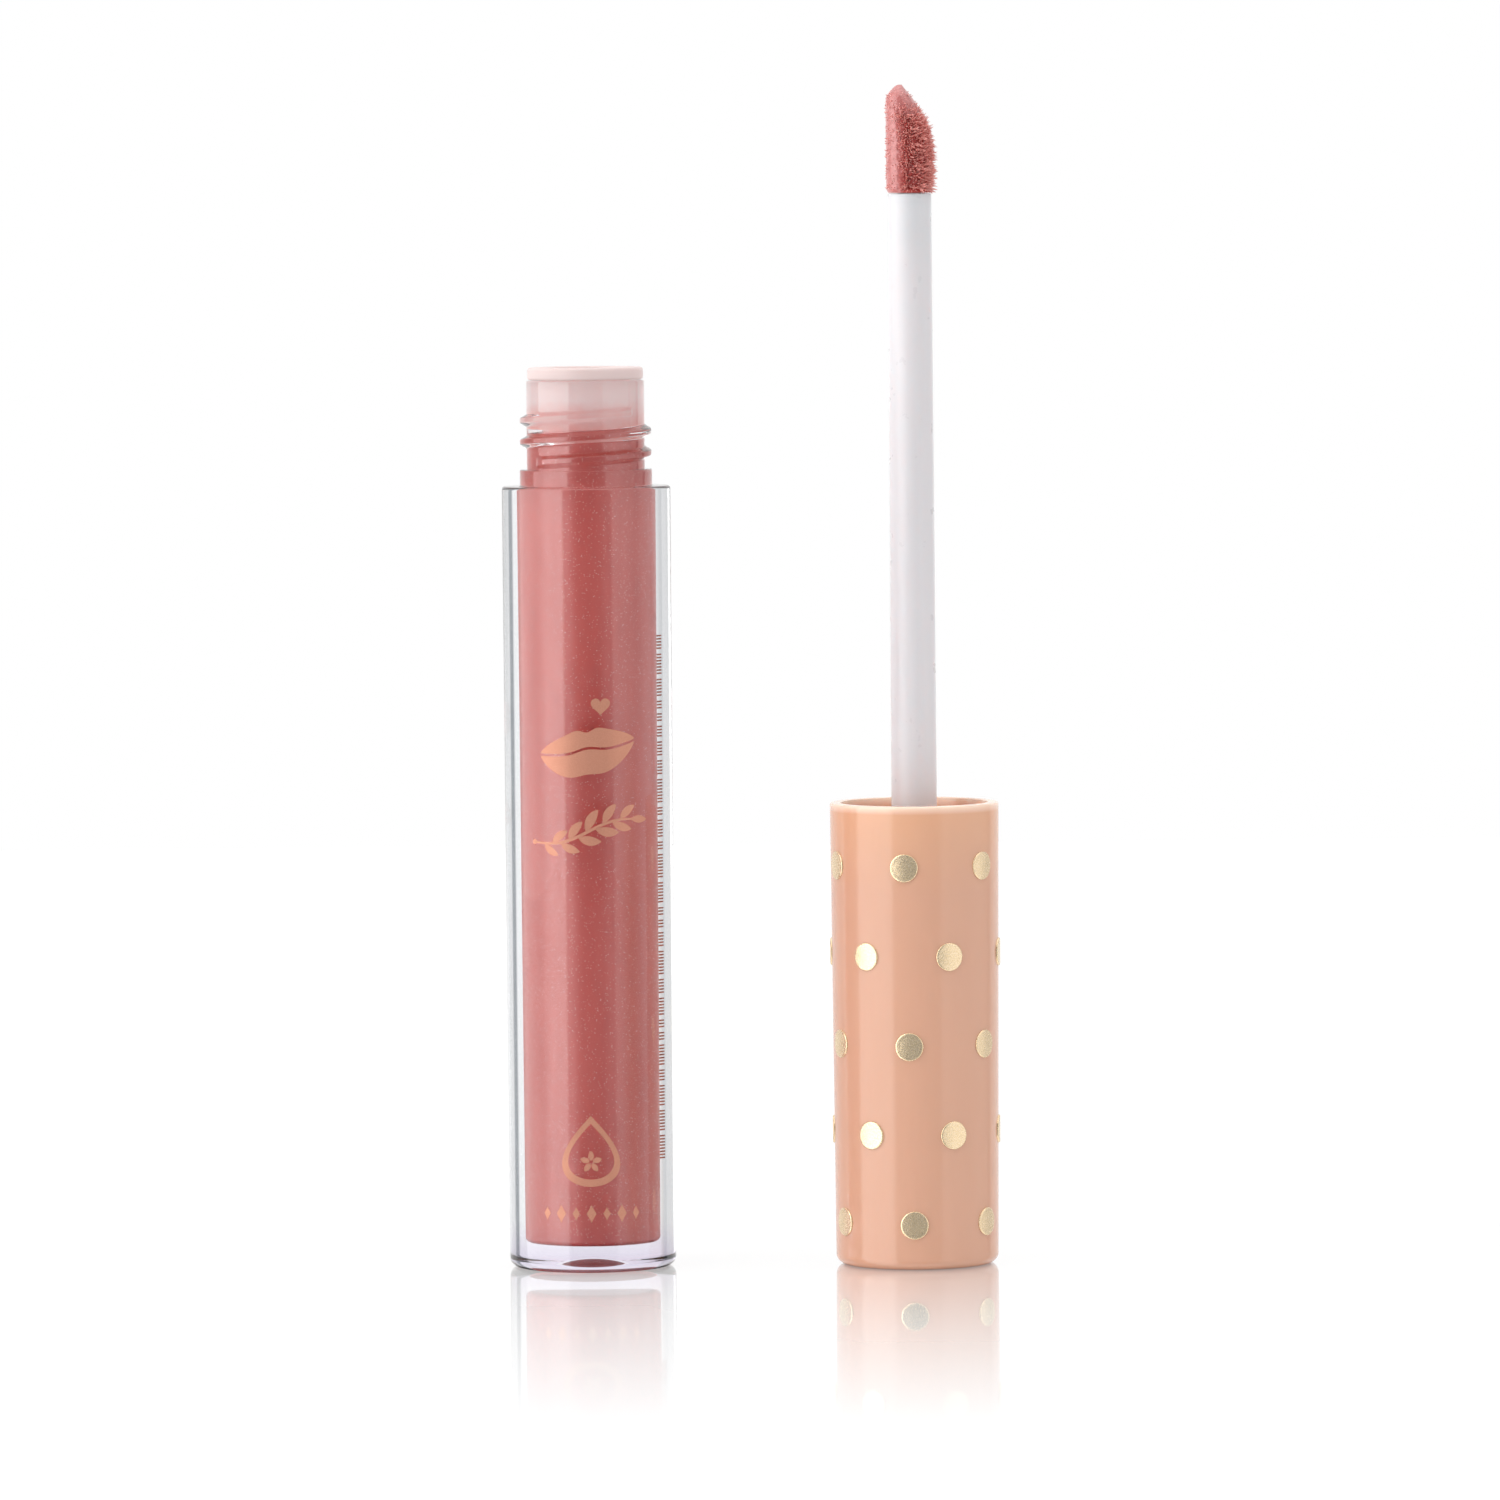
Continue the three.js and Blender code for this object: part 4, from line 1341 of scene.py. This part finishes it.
table = Finish("white_table", Roughness=1.0, Emission_Strength=FLOOR_GLOW, Specular_IOR_Level=0.0,
               Base_Color=(FLOOR_BASE, FLOOR_BASE, FLOOR_BASE, 1.0))
mirror = table.add("ShaderNodeBsdfGlossy")
table.feed((1.0, 1.0, 1.0), mirror.inputs["Color"])
table.feed(0.03, mirror.inputs["Roughness"])
floor_x, floor_y, _ = table.split(table.place)
beyond = table.math("SUBTRACT", table.math("ABSOLUTE", floor_x), PIECES_ASIDE)
beyond = table.math("MAXIMUM", beyond)
squares = [table.math("MULTIPLY", value, value) for value in (beyond, floor_y)]
distance = table.math("SQRT", table.math("ADD", *squares))
fade = table.spread(distance, 0.0, SHINE_FAR, 1.0, 0.0)
side_share = table.spread(floor_x, -SHINE_BLEND, SHINE_BLEND, SHINE_LEFT, 1.0)
shine = table.math("MULTIPLY", table.math("MULTIPLY", fade, side_share), SHINE_MOST)
straight_view = table.add("ShaderNodeLightPath").outputs["Is Camera Ray"]
both = table.add("ShaderNodeMixShader")
table.feed(table.mix(straight_view, POLISH, shine, "FLOAT"), both.inputs["Fac"])
table.feed(table.shader.outputs["BSDF"], both.inputs[1])
table.feed(mirror.outputs["BSDF"], both.inputs[2])
table.feed(both.outputs["Shader"], table.tree.nodes["Material Output"].inputs["Surface"])
floor_mesh.materials.append(table.material)
print("table ready")

# %% [markdown]
# ## The studio
#
# The light is a ring of plain soft boxes, made in the world by direction: a bright one on the
# left, a wide one on the right, a dark gap in front where the camera stands, thin dark edges
# behind, and bright light from above. What the camera sees directly is white.

# %% Make the studio light
AZIMUTH_STOPS = (
    (-180, 1.0), (-134, 1.0), (-130, 0.7), (-106, 0.74), (-102, 2.7), (-34, 2.7), (-30, 0.24), (33, 0.24),
    (37, 1.25), (100, 1.1), (106, 0.76), (117, 0.72), (119, 0.2), (125, 0.2), (127, 1.0), (180, 1.0),
)
DARK_LEVEL = 0.35
DARK_BLUE = 1.12
OVERHEAD_FROM = math.radians(42)
OVERHEAD_FULL = math.radians(58)
OVERHEAD_LEVEL = 1.55

world = bpy.data.worlds.new("studio")
bpy.context.scene.world = world
world.use_nodes = True
studio = Nodes(world.node_tree)
studio.tree.nodes.clear()
right, back, up = studio.split(studio.add("ShaderNodeTexCoord").outputs["Generated"])
turn_about = studio.math("ARCTAN2", right, studio.math("MULTIPLY", back, -1.0))
position = studio.math("ADD", studio.math("DIVIDE", turn_about, 2 * math.pi), 0.5)
stops = []
for degrees, level in AZIMUTH_STOPS:
    blue = DARK_BLUE if level < DARK_LEVEL else 1.0
    stops.append(((degrees + 180) / 360, (level / blue, level, level * blue)))
overhead = studio.spread(up, math.sin(OVERHEAD_FROM), math.sin(OVERHEAD_FULL))
light = studio.mix(overhead, studio.ramp(position, stops), (OVERHEAD_LEVEL,) * 3)
seen = studio.add("ShaderNodeLightPath").outputs["Is Camera Ray"]
background = studio.add("ShaderNodeBackground")
studio.feed(studio.mix(seen, light, (1.0, 1.0, 1.0)), background.inputs["Color"])
world_output = studio.add("ShaderNodeOutputWorld")
studio.feed(background.outputs["Background"], world_output.inputs["Surface"])
print("studio of", len(AZIMUTH_STOPS), "stops")
